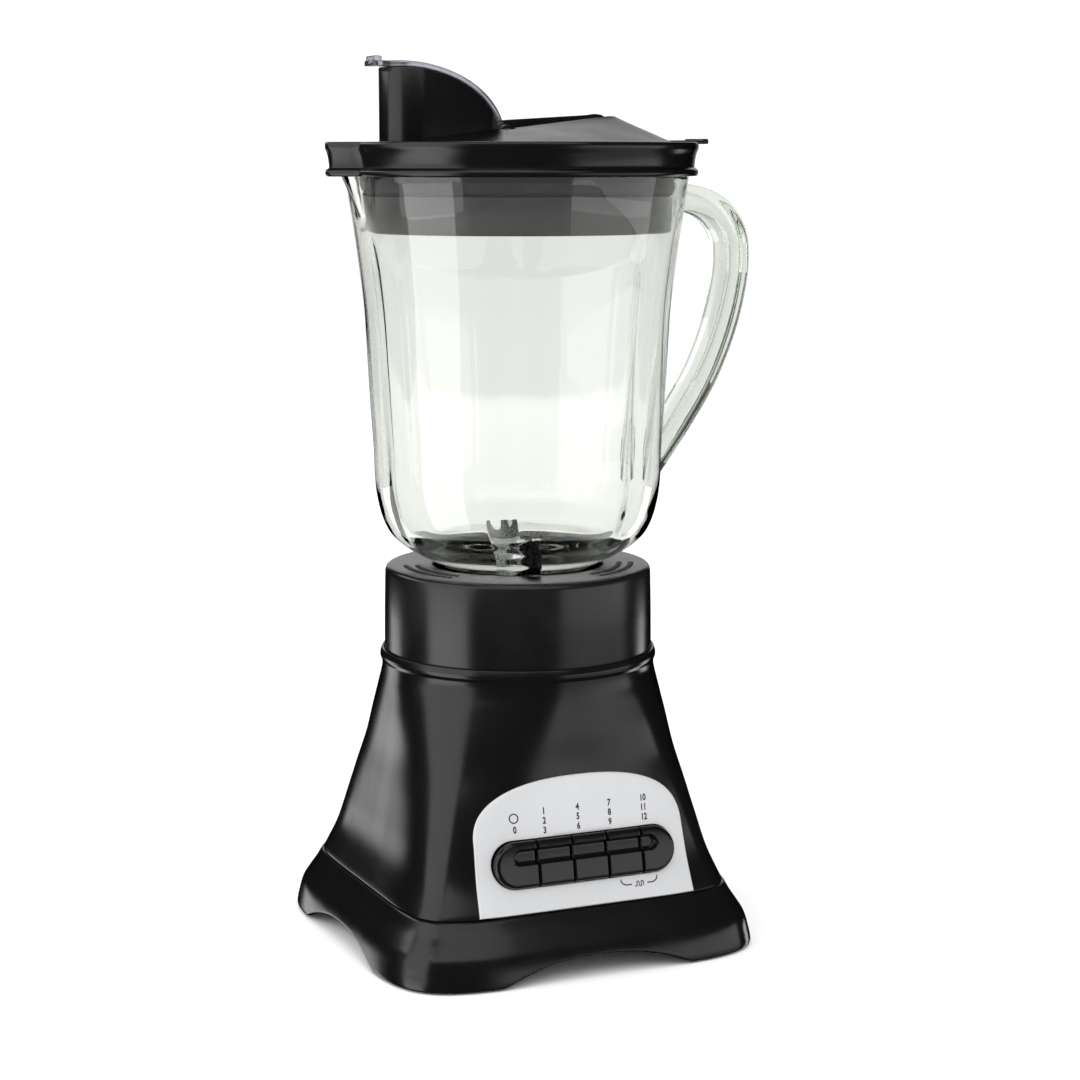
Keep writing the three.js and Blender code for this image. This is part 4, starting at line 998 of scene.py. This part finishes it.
# ---- cutter hub ----
# The black moulded boss at the bottom of the jar. A sintered bronze bush in it carries the blade shaft.
hub_low, hub_top = heights("cutter_hub")
hub_flange = hub_top - 18
hub_plate = hub_flange + 1.6
hub_bore = 6.8
hub_rows = [
    (hub_bore, hub_low, 0.3), (9.2, hub_low, 0.6), (9.2, hub_flange - 2, 0.8), (26.5, hub_flange - 1, 0.4),
    (26.9, hub_flange, 0.2), (33.8, hub_flange, 0.3), (33.8, hub_plate, 0.3), (27.5, hub_plate, 0.5),
    (26.5, hub_plate + 1, 0.5), (19, hub_plate + 6, 5), (11, hub_plate + 12, 3), (9.4, hub_top - 0.6, 0.5),
    (8.8, hub_top, 0.3), (hub_bore, hub_top, 0.3),
]
hub = made_piece("cutter_boss", [turned(rounded(hub_rows), True, 144)], moulded_black("hub_moulded_black"))
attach(hub, "jar")
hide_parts("cutter_hub")

bush_low, bush_high = heights("shaft_bush")
bush_rows = [(4.3, bush_low, 0.3), (6.5, bush_low, 0.3), (6.5, bush_high, 0.3), (4.3, bush_high, 0.3)]
bush = made_piece("bronze_bush", [turned(rounded(bush_rows), True, 64)], brass("sintered_bronze"))
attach(bush, "jar")
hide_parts("shaft_bush")

# ---- cutter ----
# Two pressed stainless blades crossed on a turned shaft, the lower pair bent down and the upper pair up,
# with one ground edge on each arm. A hexagon nut clamps them over a spacer.
def blade_steel():
    """Stainless strip, ground across the arms."""
    finish = Finish("blade_stainless", Metallic=1.0)
    lines = finish.noise(420, 3, (8, 1, 1))
    finish.set("Base Color", finish.mixed(finish.noise(60), (0.58, 0.585, 0.59), (0.68, 0.685, 0.69)))
    finish.set("Roughness", finish.ramp(lines, 0.16, 0.32, 0.3, 0.7))
    finish.bumped(lines, 0.00003, 0.4)
    return finish.material


stainless = blade_steel()
blade_thickness, blade_root, blade_ground, blade_half = 1.5, 8.0, 2.2, 6.5
cutter_crease = 25


def blade(low, reach, rise, half, turn):
    """A strip with two arms that end above or below its middle."""
    places = np.concatenate([np.linspace(-reach, -blade_root, 28), np.linspace(-6, 6, 5),
                             np.linspace(blade_root, reach, 28)])
    knee = reach - 7
    rings = []
    for x in places:
        far = abs(x)
        share = np.clip((far - blade_root) / (reach - blade_root), 0, 1)
        bends = [0, 0, 0.02 * rise, 0.55 * rise, rise]
        z = low + np.interp(far, [0, blade_root, blade_root + 2, knee, reach], bends)
        back, edge = half - 3 * share, half - (half - 1) * share
        ground = blade_ground * np.clip((far - blade_root) / 3, 0, 1) * (1 - 0.5 * share)
        t = blade_thickness
        section = [(-back, z + 0.3), (-back + 0.3, z), (edge - ground, z), (edge, z + 0.1), (edge, z + 0.22),
                   (edge - ground - 0.01, z + t), (-back + 0.3, z + t), (-back, z + t - 0.3)]
        side = 1 if x > 0 else -1
        section = section if side > 0 else [(-y, h) for y, h in section[5:] + section[:5]][::-1]
        rings.append([(x, y, h) for y, h in section])
    rings = np.array(rings)
    c, s = math.cos(turn), math.sin(turn)
    return skin(rings @ np.array([[c, s, 0], [-s, c, 0], [0, 0, 1]]))


lower_root = heights("lower_blade")[1] - blade_thickness
upper_root = heights("upper_blade")[0]
for node, root, reach, rise, turn in [("lower_blade", lower_root, 26, -5, 0),
                                      ("upper_blade", upper_root, 23, 13, math.pi / 2)]:
    arms = blade(root, reach, rise, blade_half, turn)
    strip = made_piece(f"{node}_strip", [arms], stainless, cutter_crease)
    combined(strip, [rod(shaft_bore, root - 3, root + 4)], crease=cutter_crease)
    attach(strip, "cutter")
    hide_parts(node)

cutter_shaft_low, cutter_shaft_top = heights("blade_shaft")
thread = [(4.0 - 0.3 * (i % 2), cutter_shaft_top - 8 + 0.4 * i, 0) for i in range(18)]
shaft_rows = [
    (0, cutter_shaft_low), (3.5, cutter_shaft_low, 0.2), (4, cutter_shaft_low + 1.2, 0.3),
    (4, hub_top + 0.3, 0.2), (5.6, hub_top + 0.3, 0.4), (5.6, lower_root - 0.3, 0.4),
    (4, lower_root - 0.3, 0.2), (4, cutter_shaft_top - 8.4),
    *thread, (3.4, cutter_shaft_top, 0.3), (0, cutter_shaft_top),
]
cutter_shaft = made_piece("cutter_spindle", [turned(rounded(shaft_rows, False, 3), False, 48)], stainless)
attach(cutter_shaft, "cutter")
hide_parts("blade_shaft")

spacer_low, spacer_high = heights("blade_spacer")
spacer_rows = [(shaft_bore, spacer_low, 0.2), (6, spacer_low, 0.3), (6, spacer_high, 0.3),
               (shaft_bore, spacer_high, 0.2)]
spacer = made_piece("blade_washer", [turned(rounded(spacer_rows), True, 64)], stainless)
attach(spacer, "cutter")
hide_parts("blade_spacer")

nut_low, nut_high = heights("blade_nut")
nut_radius, nut_chamfer = 5.8, 0.6


def hexagon_nut():
    """A nut with its corners taken off above and below."""
    outline = rounded([(nut_radius * math.cos(math.pi * i / 3), nut_radius * math.sin(math.pi * i / 3), 0.3)
                       for i in range(6)], steps=4)
    levels = [(0.9, nut_low), (1, nut_low + nut_chamfer), (1, nut_high - nut_chamfer), (0.9, nut_high)]
    return skin([level(outline * share, z) for share, z in levels])


nut = made_piece("hexagon_nut", [hexagon_nut()], stainless, cutter_crease)
combined(nut, [rod(shaft_bore, nut_low - 1, nut_high + 1)], crease=cutter_crease)
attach(nut, "cutter")
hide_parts("blade_nut")

# ---- glass jar ----
# Pressed soda-lime glass, about four millimetres thick, with a screw thread on its neck, a pour lip opposite
# the handle and vertical ribs inside that turn the food back to the blades. The handle is part of the glass.
def pressed_glass():
    """Clear glass with the faint green of its iron and the slight waves of pressing."""
    finish = Finish("clear_glass", IOR=1.5, Transmission_Weight=1.0)
    finish.set("Base Color", finish.mixed(finish.noise(12), (0.915, 0.922, 0.905), (0.93, 0.937, 0.92)))
    finish.set("Roughness", finish.ramp(finish.noise(60, 2), 0.0, 0.008, 0.4, 0.8))
    finish.bumped(finish.noise(34, 1, (1, 1, 0.4)), 0.0006, 0.35)
    body = finish.node("ShaderNodeVolumeAbsorption", {}, {"Color": (0.62, 0.665, 0.60, 1), "Density": 45.0})
    finish.feed(finish.tree.nodes["Material Output"].inputs["Volume"], body)
    return finish.material


clear_glass = pressed_glass()
jar_low, jar_high = heights("glass_jar")
jar_height = jar_high - jar_low
neck_radius, neck_bore, glass_wall = 34.4, 28.5, 4.2
rim_radius, shoulder_radius, shoulder_height = 71.9, 59.5, 50.0
lip_reach, lip_half_angle, lip_height = 8.2, 0.15, 24.0
thread_rise, thread_pitch, thread_turns = 1.7, 5.5, 1.4
rib_count, rib_proud, rib_half_angle = 6, 0.9, math.radians(9)
jar_sides, jar_crease = 360, 50
jar_side = smooth([
    (34.5, 20), (34.9, 22.8), (37.4, 25.2), (44.4, 29.0), (49.7, 32.6), (54.6, 37.4), (57.6, 43.3),
    (shoulder_radius, shoulder_height), (61.5, 75.6), (63.2, 104), (64.8, 132.6), (67.8, 157.6), (70.6, 177),
    (71.8, 185.6)], 7)
jar_inside = smooth([
    (67.7, 186.5), (67.3, 177), (64.8, 157.6), (61.8, 132.6), (59.8, 104), (57.8, 75.6), (55.3, 51),
    (51, 40.9), (45, 35.0), (36, 28.8), (29.9, 22.6), (28.6, 19)], 7)
mouth_radius = rim_radius - glass_wall
jar_rim = rounded([(rim_radius, jar_height - 7), (rim_radius, jar_height, 1.6),
                   (mouth_radius, jar_height, 1.4), (mouth_radius, jar_height - 7)], False, 8)


def jar_ring(radius, height, inside=False):
    """A ring of the glass: pushed out at the pour lip, with the ribs inside and the thread outside."""
    turn = np.arange(jar_sides) * 2 * math.pi / jar_sides
    if inside:
        place = np.abs((turn * rib_count / (2 * math.pi) + 0.5) % 1 - 0.5) * 2 * math.pi / rib_count
        rib = np.cos(np.clip(place / rib_half_angle, 0, 1) * math.pi / 2) ** 2
        fade = np.interp(height, [34, 48, 150, 170], [0, 1, 1, 0])
        radius = radius - rib * rib_proud * fade
    elif height < 20:
        climb = (height - 4) / thread_pitch - turn / (2 * math.pi)
        crest = np.clip(1 - np.abs(climb - np.round(climb)) * 4.4, 0, 1)
        ends = (climb > -0.4) & (climb < thread_turns)
        radius = radius + thread_rise * np.minimum(crest * 1.6, 1) * ends
    x, y = radius * np.cos(turn), radius * np.sin(turn)
    bend = np.abs((turn - math.pi)) / lip_half_angle
    lift = max(height - jar_height + lip_height, 0) / lip_height
    push = lip_reach * np.cos(np.minimum(bend, 1) * math.pi / 2) ** 1.5 * lift**1.2
    return np.stack([x - push, y, np.full(jar_sides, height + jar_low)], -1)


neck = [(neck_radius - 0.6, 0.0), (neck_radius - 0.15, 0.2), (neck_radius, 0.7)]
neck += [(neck_radius, z) for z in np.arange(1.2, 19.9, 0.35)]
jar_rings = [jar_ring(r, z) for r, z in [*neck, *jar_side[:-1], *jar_rim]]
jar_inner_rows = [*jar_inside, (28.5, 12), (neck_bore, 0.8), (neck_bore + 0.2, 0.2), (neck_bore + 0.6, 0.0)]
jar_rings += [jar_ring(r, z, True) for r, z in jar_inner_rows]
handle_out, handle_thick, handle_wide = 107.3, 11.6, 20.0
handle_line = smooth([
    (rim_radius - 5, 177.9), (handle_out - 27.4, 177.9), (handle_out - 14.4, 172.6),
    (handle_out - 7.1, 162.6), (handle_out - 5.8, 151.5), (handle_out - 7.8, 136.5),
    (handle_out - 12.8, 119), (handle_out - 21.3, 100),
    (handle_out - 31.8, 83.5), (56.5, 58)], 8)


def handle():
    """The grip as a bar of rounded section swept along its line, waisted a little on its inner side."""
    way = np.gradient(handle_line, axis=0)
    way /= np.linalg.norm(way, axis=1, keepdims=True)
    out = np.column_stack([-way[:, 1], way[:, 0]])
    a, b = handle_thick / 2, handle_wide / 2
    section = rounded([(a, -b, 4.2), (a, b, 4.2), (-a, b, 3.2), (-a * 0.82, 0, 8), (-a, -b, 3.2)], steps=8)
    rings = []
    for (x, z), (ox, oz) in zip(handle_line, out):
        rings.append([(x + u * ox, v, z + jar_low + u * oz) for u, v in section])
    return skin(rings)


jar = made_piece("jar_glass", [skin(jar_rings, True)], clear_glass, jar_crease)
core = [(0, 45)] + [(r - 2.1, z) for r, z in jar_side if 45 < z] + [(0, 185.6)]
grip = made_piece("handle_glass", [handle()], clear_glass, jar_crease)
combined(grip, [turned([(r, z + jar_low) for r, z in core], False, 180)], crease=jar_crease)
grip_shape = (np.array([((v.co.x - axis_x) / mm, v.co.y / mm, v.co.z / mm) for v in grip.data.vertices]),
              [tuple(f.vertices) for f in grip.data.polygons])
bpy.data.objects.remove(grip)
combined(jar, [grip_shape], "UNION", jar_crease)
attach(jar, "jar")
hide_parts("glass_jar")

# ---- lid ----
# One gloss black moulding: a beaded rim that laps over the glass with a nose over the pour lip and a thin
# tab over the handle, a hollow plug inside, two wedge-shaped wings, and the chute for adding food.
lid_black = gloss_black("lid_gloss_black", 0.22)
lid_top = jar_high + 0.3 + 2.5 + 5.3
lid_bottom = lid_top - 14
lid_under = lid_top - 2.5
lid_radius, plug_radius, plug_foot, plug_bottom = 76.0, 62.7, 64.6, jar_high - 28.9
nose_half, nose_reach, nose_round = 12.6, 84.98, 5.0
lid_inner = rim_radius + 0.3
seal_under = heights("lid_seal")[0] - 0.3


def nose_bump(turn):
    """How far the lid's rim stands out over the pour lip, by angle from the spout."""
    arc = np.linspace(math.radians(50.4), 0, 16)
    centre = nose_reach - nose_round
    tip = zip(centre + nose_round * np.cos(arc), nose_round * np.sin(arc))
    points = np.array([(67, 17.4), (74.5, nose_half), *tip])
    bearing = np.arctan2(points[:, 1], points[:, 0])[::-1]
    reach = np.hypot(points[:, 0], points[:, 1])[::-1]
    sweep = np.radians(np.linspace(-1.2, 1.2, 9))
    found = [np.interp(np.abs(turn + d), bearing, reach, right=0) for d in sweep]
    return np.mean([np.maximum(f - lid_radius, 0) for f in found], axis=0)


def lid_ring(radius, height, share=1.0):
    """A ring of the lid, with a share of the nose over the pour lip."""
    turn = np.arange(jar_sides) * 2 * math.pi / jar_sides
    reach = radius + share * nose_bump(np.abs(turn - math.pi))
    return np.stack([reach * np.cos(turn), reach * np.sin(turn), np.full(jar_sides, height)], -1)


lid_rim = [(-2.2, 0), (-0.9, -0.02), (-0.35, -0.25), (-0.05, -0.8), (0, -1.4), (0, -2.4), (-0.25, -3.2),
           (-0.7, -4.2), (-1.1, -5.6), (-1.4, -7.2), (-1.62, -8.8), (-1.72, -9.9), (-1.6, -10.5),
           (-1.05, -10.9), (-0.5, -11.2),
           (-0.15, -11.8), (-0.05, -12.6), (-0.2, -13.3), (-0.6, -13.85), (-1.2, -14)]
lid_rings = [lid_ring(r, lid_top, 0) for r in (0.01, 30, 50, 60)] + [lid_ring(r, lid_top, s) for r, s in
                                                                     [(66, 0.2), (70, 0.75), (72, 1)]]
lid_rings += [lid_ring(lid_radius + r, lid_top + z) for r, z in lid_rim]
lid_rings += [lid_ring(lid_inner + 0.4, lid_bottom), lid_ring(lid_inner, lid_bottom + 0.5),
              lid_ring(lid_inner, lid_under - 0.8), lid_ring(lid_inner - 0.8, lid_under),
              lid_ring(plug_radius + 1, lid_under, 0), lid_ring(plug_radius, lid_under - 0.8, 0),
              lid_ring(plug_radius, seal_under, 0), lid_ring(plug_foot + 0.6, seal_under - 1.2, 0),
              lid_ring(plug_foot, plug_bottom + 0.6, 0), lid_ring(plug_foot - 0.6, plug_bottom, 0),
              lid_ring(plug_foot - 1.6, plug_bottom, 0), lid_ring(plug_foot - 2.2, plug_bottom + 0.6, 0),
              lid_ring(plug_radius - 2.2, seal_under - 2, 0),
              lid_ring(plug_radius - 2.2, lid_under - 0.6, 0), lid_ring(plug_radius - 2.8, lid_under, 0),
              lid_ring(30, lid_under, 0), lid_ring(0.01, lid_under, 0)]
lid = made_piece("lid_shell", [skin(lid_rings)], lid_black)

wing_inset, wing_radius, wing_rise = 17.0, lid_radius - 9.2, 11.0
near_crest = np.array([(-50, -0.6), (-48, 1.0), (36, wing_rise), (57, 2.2), (61, -0.4)])
far_crest = np.array([(-50, -0.6), (-48, 1.0), (-20, 6.4), (1, 9.4), (40, 11.7), (44, 12.3), (48, 11.8),
                      (58, 2.2), (61, -0.4)])


def wing(side):
    """A wedge that rises from the rim to a crest beside the chute's channel."""
    crest = near_crest if side < 0 else far_crest
    share = np.concatenate([np.linspace(0, 0.78, 40), np.linspace(0.785, 1, 30)])
    crest_x = -50 + 111 * share
    crest_z = np.interp(crest_x, crest[:, 0], crest[:, 1])
    kernel = np.array([1, 2, 1]) / 4
    crest_z[1:-1] = np.convolve(crest_z, kernel, "same")[1:-1]
    bearing = np.radians(np.interp(share, [0, 0.35, 0.6, 0.78, 1], [139, 106, 74, 46, 20]))
    foot_x, foot_y = wing_radius * np.cos(bearing), wing_radius * np.sin(bearing)
    rings = []
    for x, z, fx, fy in zip(crest_x, crest_z, foot_x, foot_y):
        line = [(x, wing_inset, -1.2), (x, wing_inset, z - 0.5), (x, wing_inset + 0.12, z - 0.15),
                (x, wing_inset + 0.5, z)]
        for t in np.linspace(0.06, 1, 16):
            swell = 0.9 * math.sin(math.pi * t) * max(z, 0) / wing_rise
            height = z + (-0.9 - z) * t**0.92 + swell
            line.append((x + (fx - x) * t, wing_inset + (fy - wing_inset) * t, height))
        line.append((fx, fy, -1.2))
        rings.append([(px, side * py, pz + lid_top) for px, py, pz in line])
    return skin(rings)


chute_half, chute_end, chute_tip = 14.0, -13.0, -60.7
chute_wall, chute_rise, chute_run = 2.2, 28.0, 44.0
curve_foot, curve_centre = lid_top + 2.1, chute_end - chute_run - 1


def chute_curve(x, lift=0.0):
    """Height of the chute's quarter-round top, raised by a lift measured square to it."""
    share = np.clip((np.asarray(x) - curve_centre) / (chute_run + lift), 0, 1)
    return curve_foot + (chute_rise + lift) * np.sqrt(1 - share**2)


def chute_plan(inset, count=40):
    """The chute's outline seen from above: flat at the hinge, round at the spout."""
    radius = chute_half - inset
    turn = np.linspace(math.pi / 2, 3 * math.pi / 2, count)
    round_end = np.stack([chute_tip + chute_half + radius * np.cos(turn), radius * np.sin(turn)], -1)
    side = np.sin(np.linspace(0, math.pi / 2, 49))[:-1, None] ** 1.3
    start, stop = np.array([chute_tip + chute_half, -radius]), np.array([chute_end - inset, -radius])
    near = start + (stop - start) * side
    across = np.stack([np.full(12, chute_end - inset), np.linspace(-radius, radius, 12)], -1)
    far = (near * (1, -1))[::-1]
    return np.concatenate([round_end[:-1], near, across, far])


outer_plan, inner_plan = chute_plan(0), chute_plan(chute_wall)
chute_rings = [level(plan, lid_under + 0.3) for plan in (inner_plan, outer_plan)]
for plan, drop in [(chute_plan(0), 0.5), (chute_plan(0.15), 0.15), (chute_plan(0.5), 0), (chute_plan(1.7), 0),
                   (chute_plan(2.05), 0.15), (chute_plan(2.2), 0.5)]:
    chute_rings.append(np.column_stack([plan, chute_curve(plan[:, 0]) - drop]))
hinge_x, hinge_z, ear_radius = curve_centre + chute_run + 2.2 + 0.3 + 1.4, lid_top + 4.6, 2.4


def ear(y0, y1):
    """A rounded lug that the cap's pin turns in."""
    turn = np.linspace(0, math.pi, 17)
    outline = [(hinge_x + ear_radius * math.cos(a), hinge_z + ear_radius * math.sin(a)) for a in turn]
    outline += [(hinge_x - ear_radius, lid_top - 1), (hinge_x + ear_radius, lid_top - 1)]
    return skin([[(x, y, z) for x, z in outline] for y in (y0, y1)])


tab_half, tab_reach, tab_start = 9.0, lid_radius + 10.0, lid_radius - 7.2
tab = [block(tab_start, tab_reach, -tab_half, tab_half, lid_top - 0.7, lid_top + 0.9, 0.5),
       block(tab_reach - 2.6, tab_reach, -tab_half, tab_half, lid_top + 0.2, lid_top + 1.6, 0.6)]
combined(lid, [wing(1), wing(-1), skin(chute_rings, True), *tab, ear(10, 12.6), ear(-12.6, -10)], "UNION")
hole = skin([level(inner_plan, z) for z in (lid_under - 2, lid_top + 1)])


def cross_bar(radius, half, x, z, count=32):
    """A round bar across the lid, from side to side."""
    turn = np.arange(count) * 2 * math.pi / count
    edge = min(0.3, radius / 4)
    rows = [(radius - edge, -half), (radius, -half + edge), (radius, half - edge), (radius - edge, half)]
    return skin([[(x + r * math.cos(a), y, z + r * math.sin(a)) for a in turn] for r, y in rows])


combined(lid, [hole, cross_bar(1.4, 20, hinge_x, hinge_z)])
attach(lid, "lid")
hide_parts("lid")

seal_low, seal_high = heights("lid_seal")
seal_inner, seal_lip = plug_radius + 0.3, rim_radius - glass_wall - 1.2
seal_rows = [(seal_inner, seal_low, 0.4), (seal_inner + 2, seal_low, 0.8), (seal_lip, seal_low + 2.4, 0.8),
             (seal_lip, seal_low + 4, 0.8), (seal_inner + 2.2, seal_low + 5.4, 0.8),
             (seal_inner + 2.2, seal_high, 0.5), (seal_inner, seal_high, 0.4)]
seal = made_piece("lid_gasket", [turned(rounded(seal_rows))], rubber("seal_rubber"))
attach(seal, "lid")
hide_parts("lid_seal")

# ---- chute cap ----
# A smoke-clear cover moulded in one piece. It follows the chute's quarter-round top, turns on a pin between
# the lid's two ears, and has a finger tab with a small ridge over the spout.
def smoky_plastic():
    """Clear styrene with a grey-violet tint and a slightly scuffed polish."""
    finish = Finish("smoky_clear", IOR=1.55, Transmission_Weight=0.92)
    finish.set("Base Color", finish.mixed(finish.noise(50), (0.40, 0.40, 0.46), (0.46, 0.46, 0.52)))
    finish.set("Roughness", finish.ramp(finish.noise(160, 4), 0.06, 0.16, 0.4, 0.75))
    return finish.material


cap_thick, cap_gap, cap_crease = 2.2, 0.3, 45
cap_top = curve_foot + chute_rise + cap_thick + cap_gap
cap_low = curve_foot + 1.4
tab_tip, cap_tab_half = chute_tip - 5.4, 7.0


def cap_half(x):
    """Half width of the cap at a place along it: round over the chute's end, then the finger tab."""
    over = np.clip((chute_tip + chute_half - x) / (chute_half + cap_gap), 0, 1)
    round_end = (chute_half + cap_gap) * math.sqrt(1 - over**2)
    toe = np.clip((x - tab_tip) / 3.0, 0, 1)
    tab_width = cap_tab_half - 3.0 + 3.0 * math.sqrt(1 - (1 - toe) ** 2)
    return max(round_end, tab_width) - 0.25


def cap_shell():
    """The cover: a rounded strip laid along the curve from the finger tab to the hinge."""
    flat = [(x, cap_top - cap_thick / 2, 0, 1) for x in np.linspace(tab_tip + 0.2, curve_centre - 0.5, 34)]
    end = math.acos(np.clip((cap_low - curve_foot) / (chute_rise + cap_gap + cap_thick / 2), 0, 1))
    bent = []
    for turn in np.linspace(0, end, 60):
        reach, rise = chute_run + cap_gap + cap_thick / 2, chute_rise + cap_gap + cap_thick / 2
        normal = np.array([math.sin(turn) * rise, math.cos(turn) * reach])
        normal /= np.linalg.norm(normal)
        bent.append((curve_centre + reach * math.sin(turn), curve_foot + rise * math.cos(turn), *normal))
    rings = []
    for x, z, nx, nz in [*flat, *bent]:
        half, t = cap_half(x), cap_thick / 2
        section = rounded([(-half, -t, 0.5), (half, -t, 0.5), (half, t, 0.9), (-half, t, 0.9)], steps=4)
        rings.append([(x + w * nx, v, z + w * nz) for v, w in section])
    return skin(rings)


cap = made_piece("chute_cover", [cap_shell()], smoky_plastic(), cap_crease)
knob = block(tab_tip + 0.8, chute_tip - 1, -5, 5, cap_top - 0.6, heights("spout_cap")[1], 0.7)
notches = [block(hinge_x - 8, hinge_x + 8, y0, y1, lid_top, hinge_z + ear_radius + 0.3, 0.1)
           for y0, y1 in [(9.7, 16), (-16, -9.7)]]
combined(cap, [merged(notches)], crease=cap_crease)
combined(cap, [knob, cross_bar(2.0, 9.7, hinge_x, hinge_z), cross_bar(1.1, 12.4, hinge_x, hinge_z)], "UNION",
         cap_crease)
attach(cap, "cap")
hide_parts("spout_cap")

bpy.context.view_layer.update()
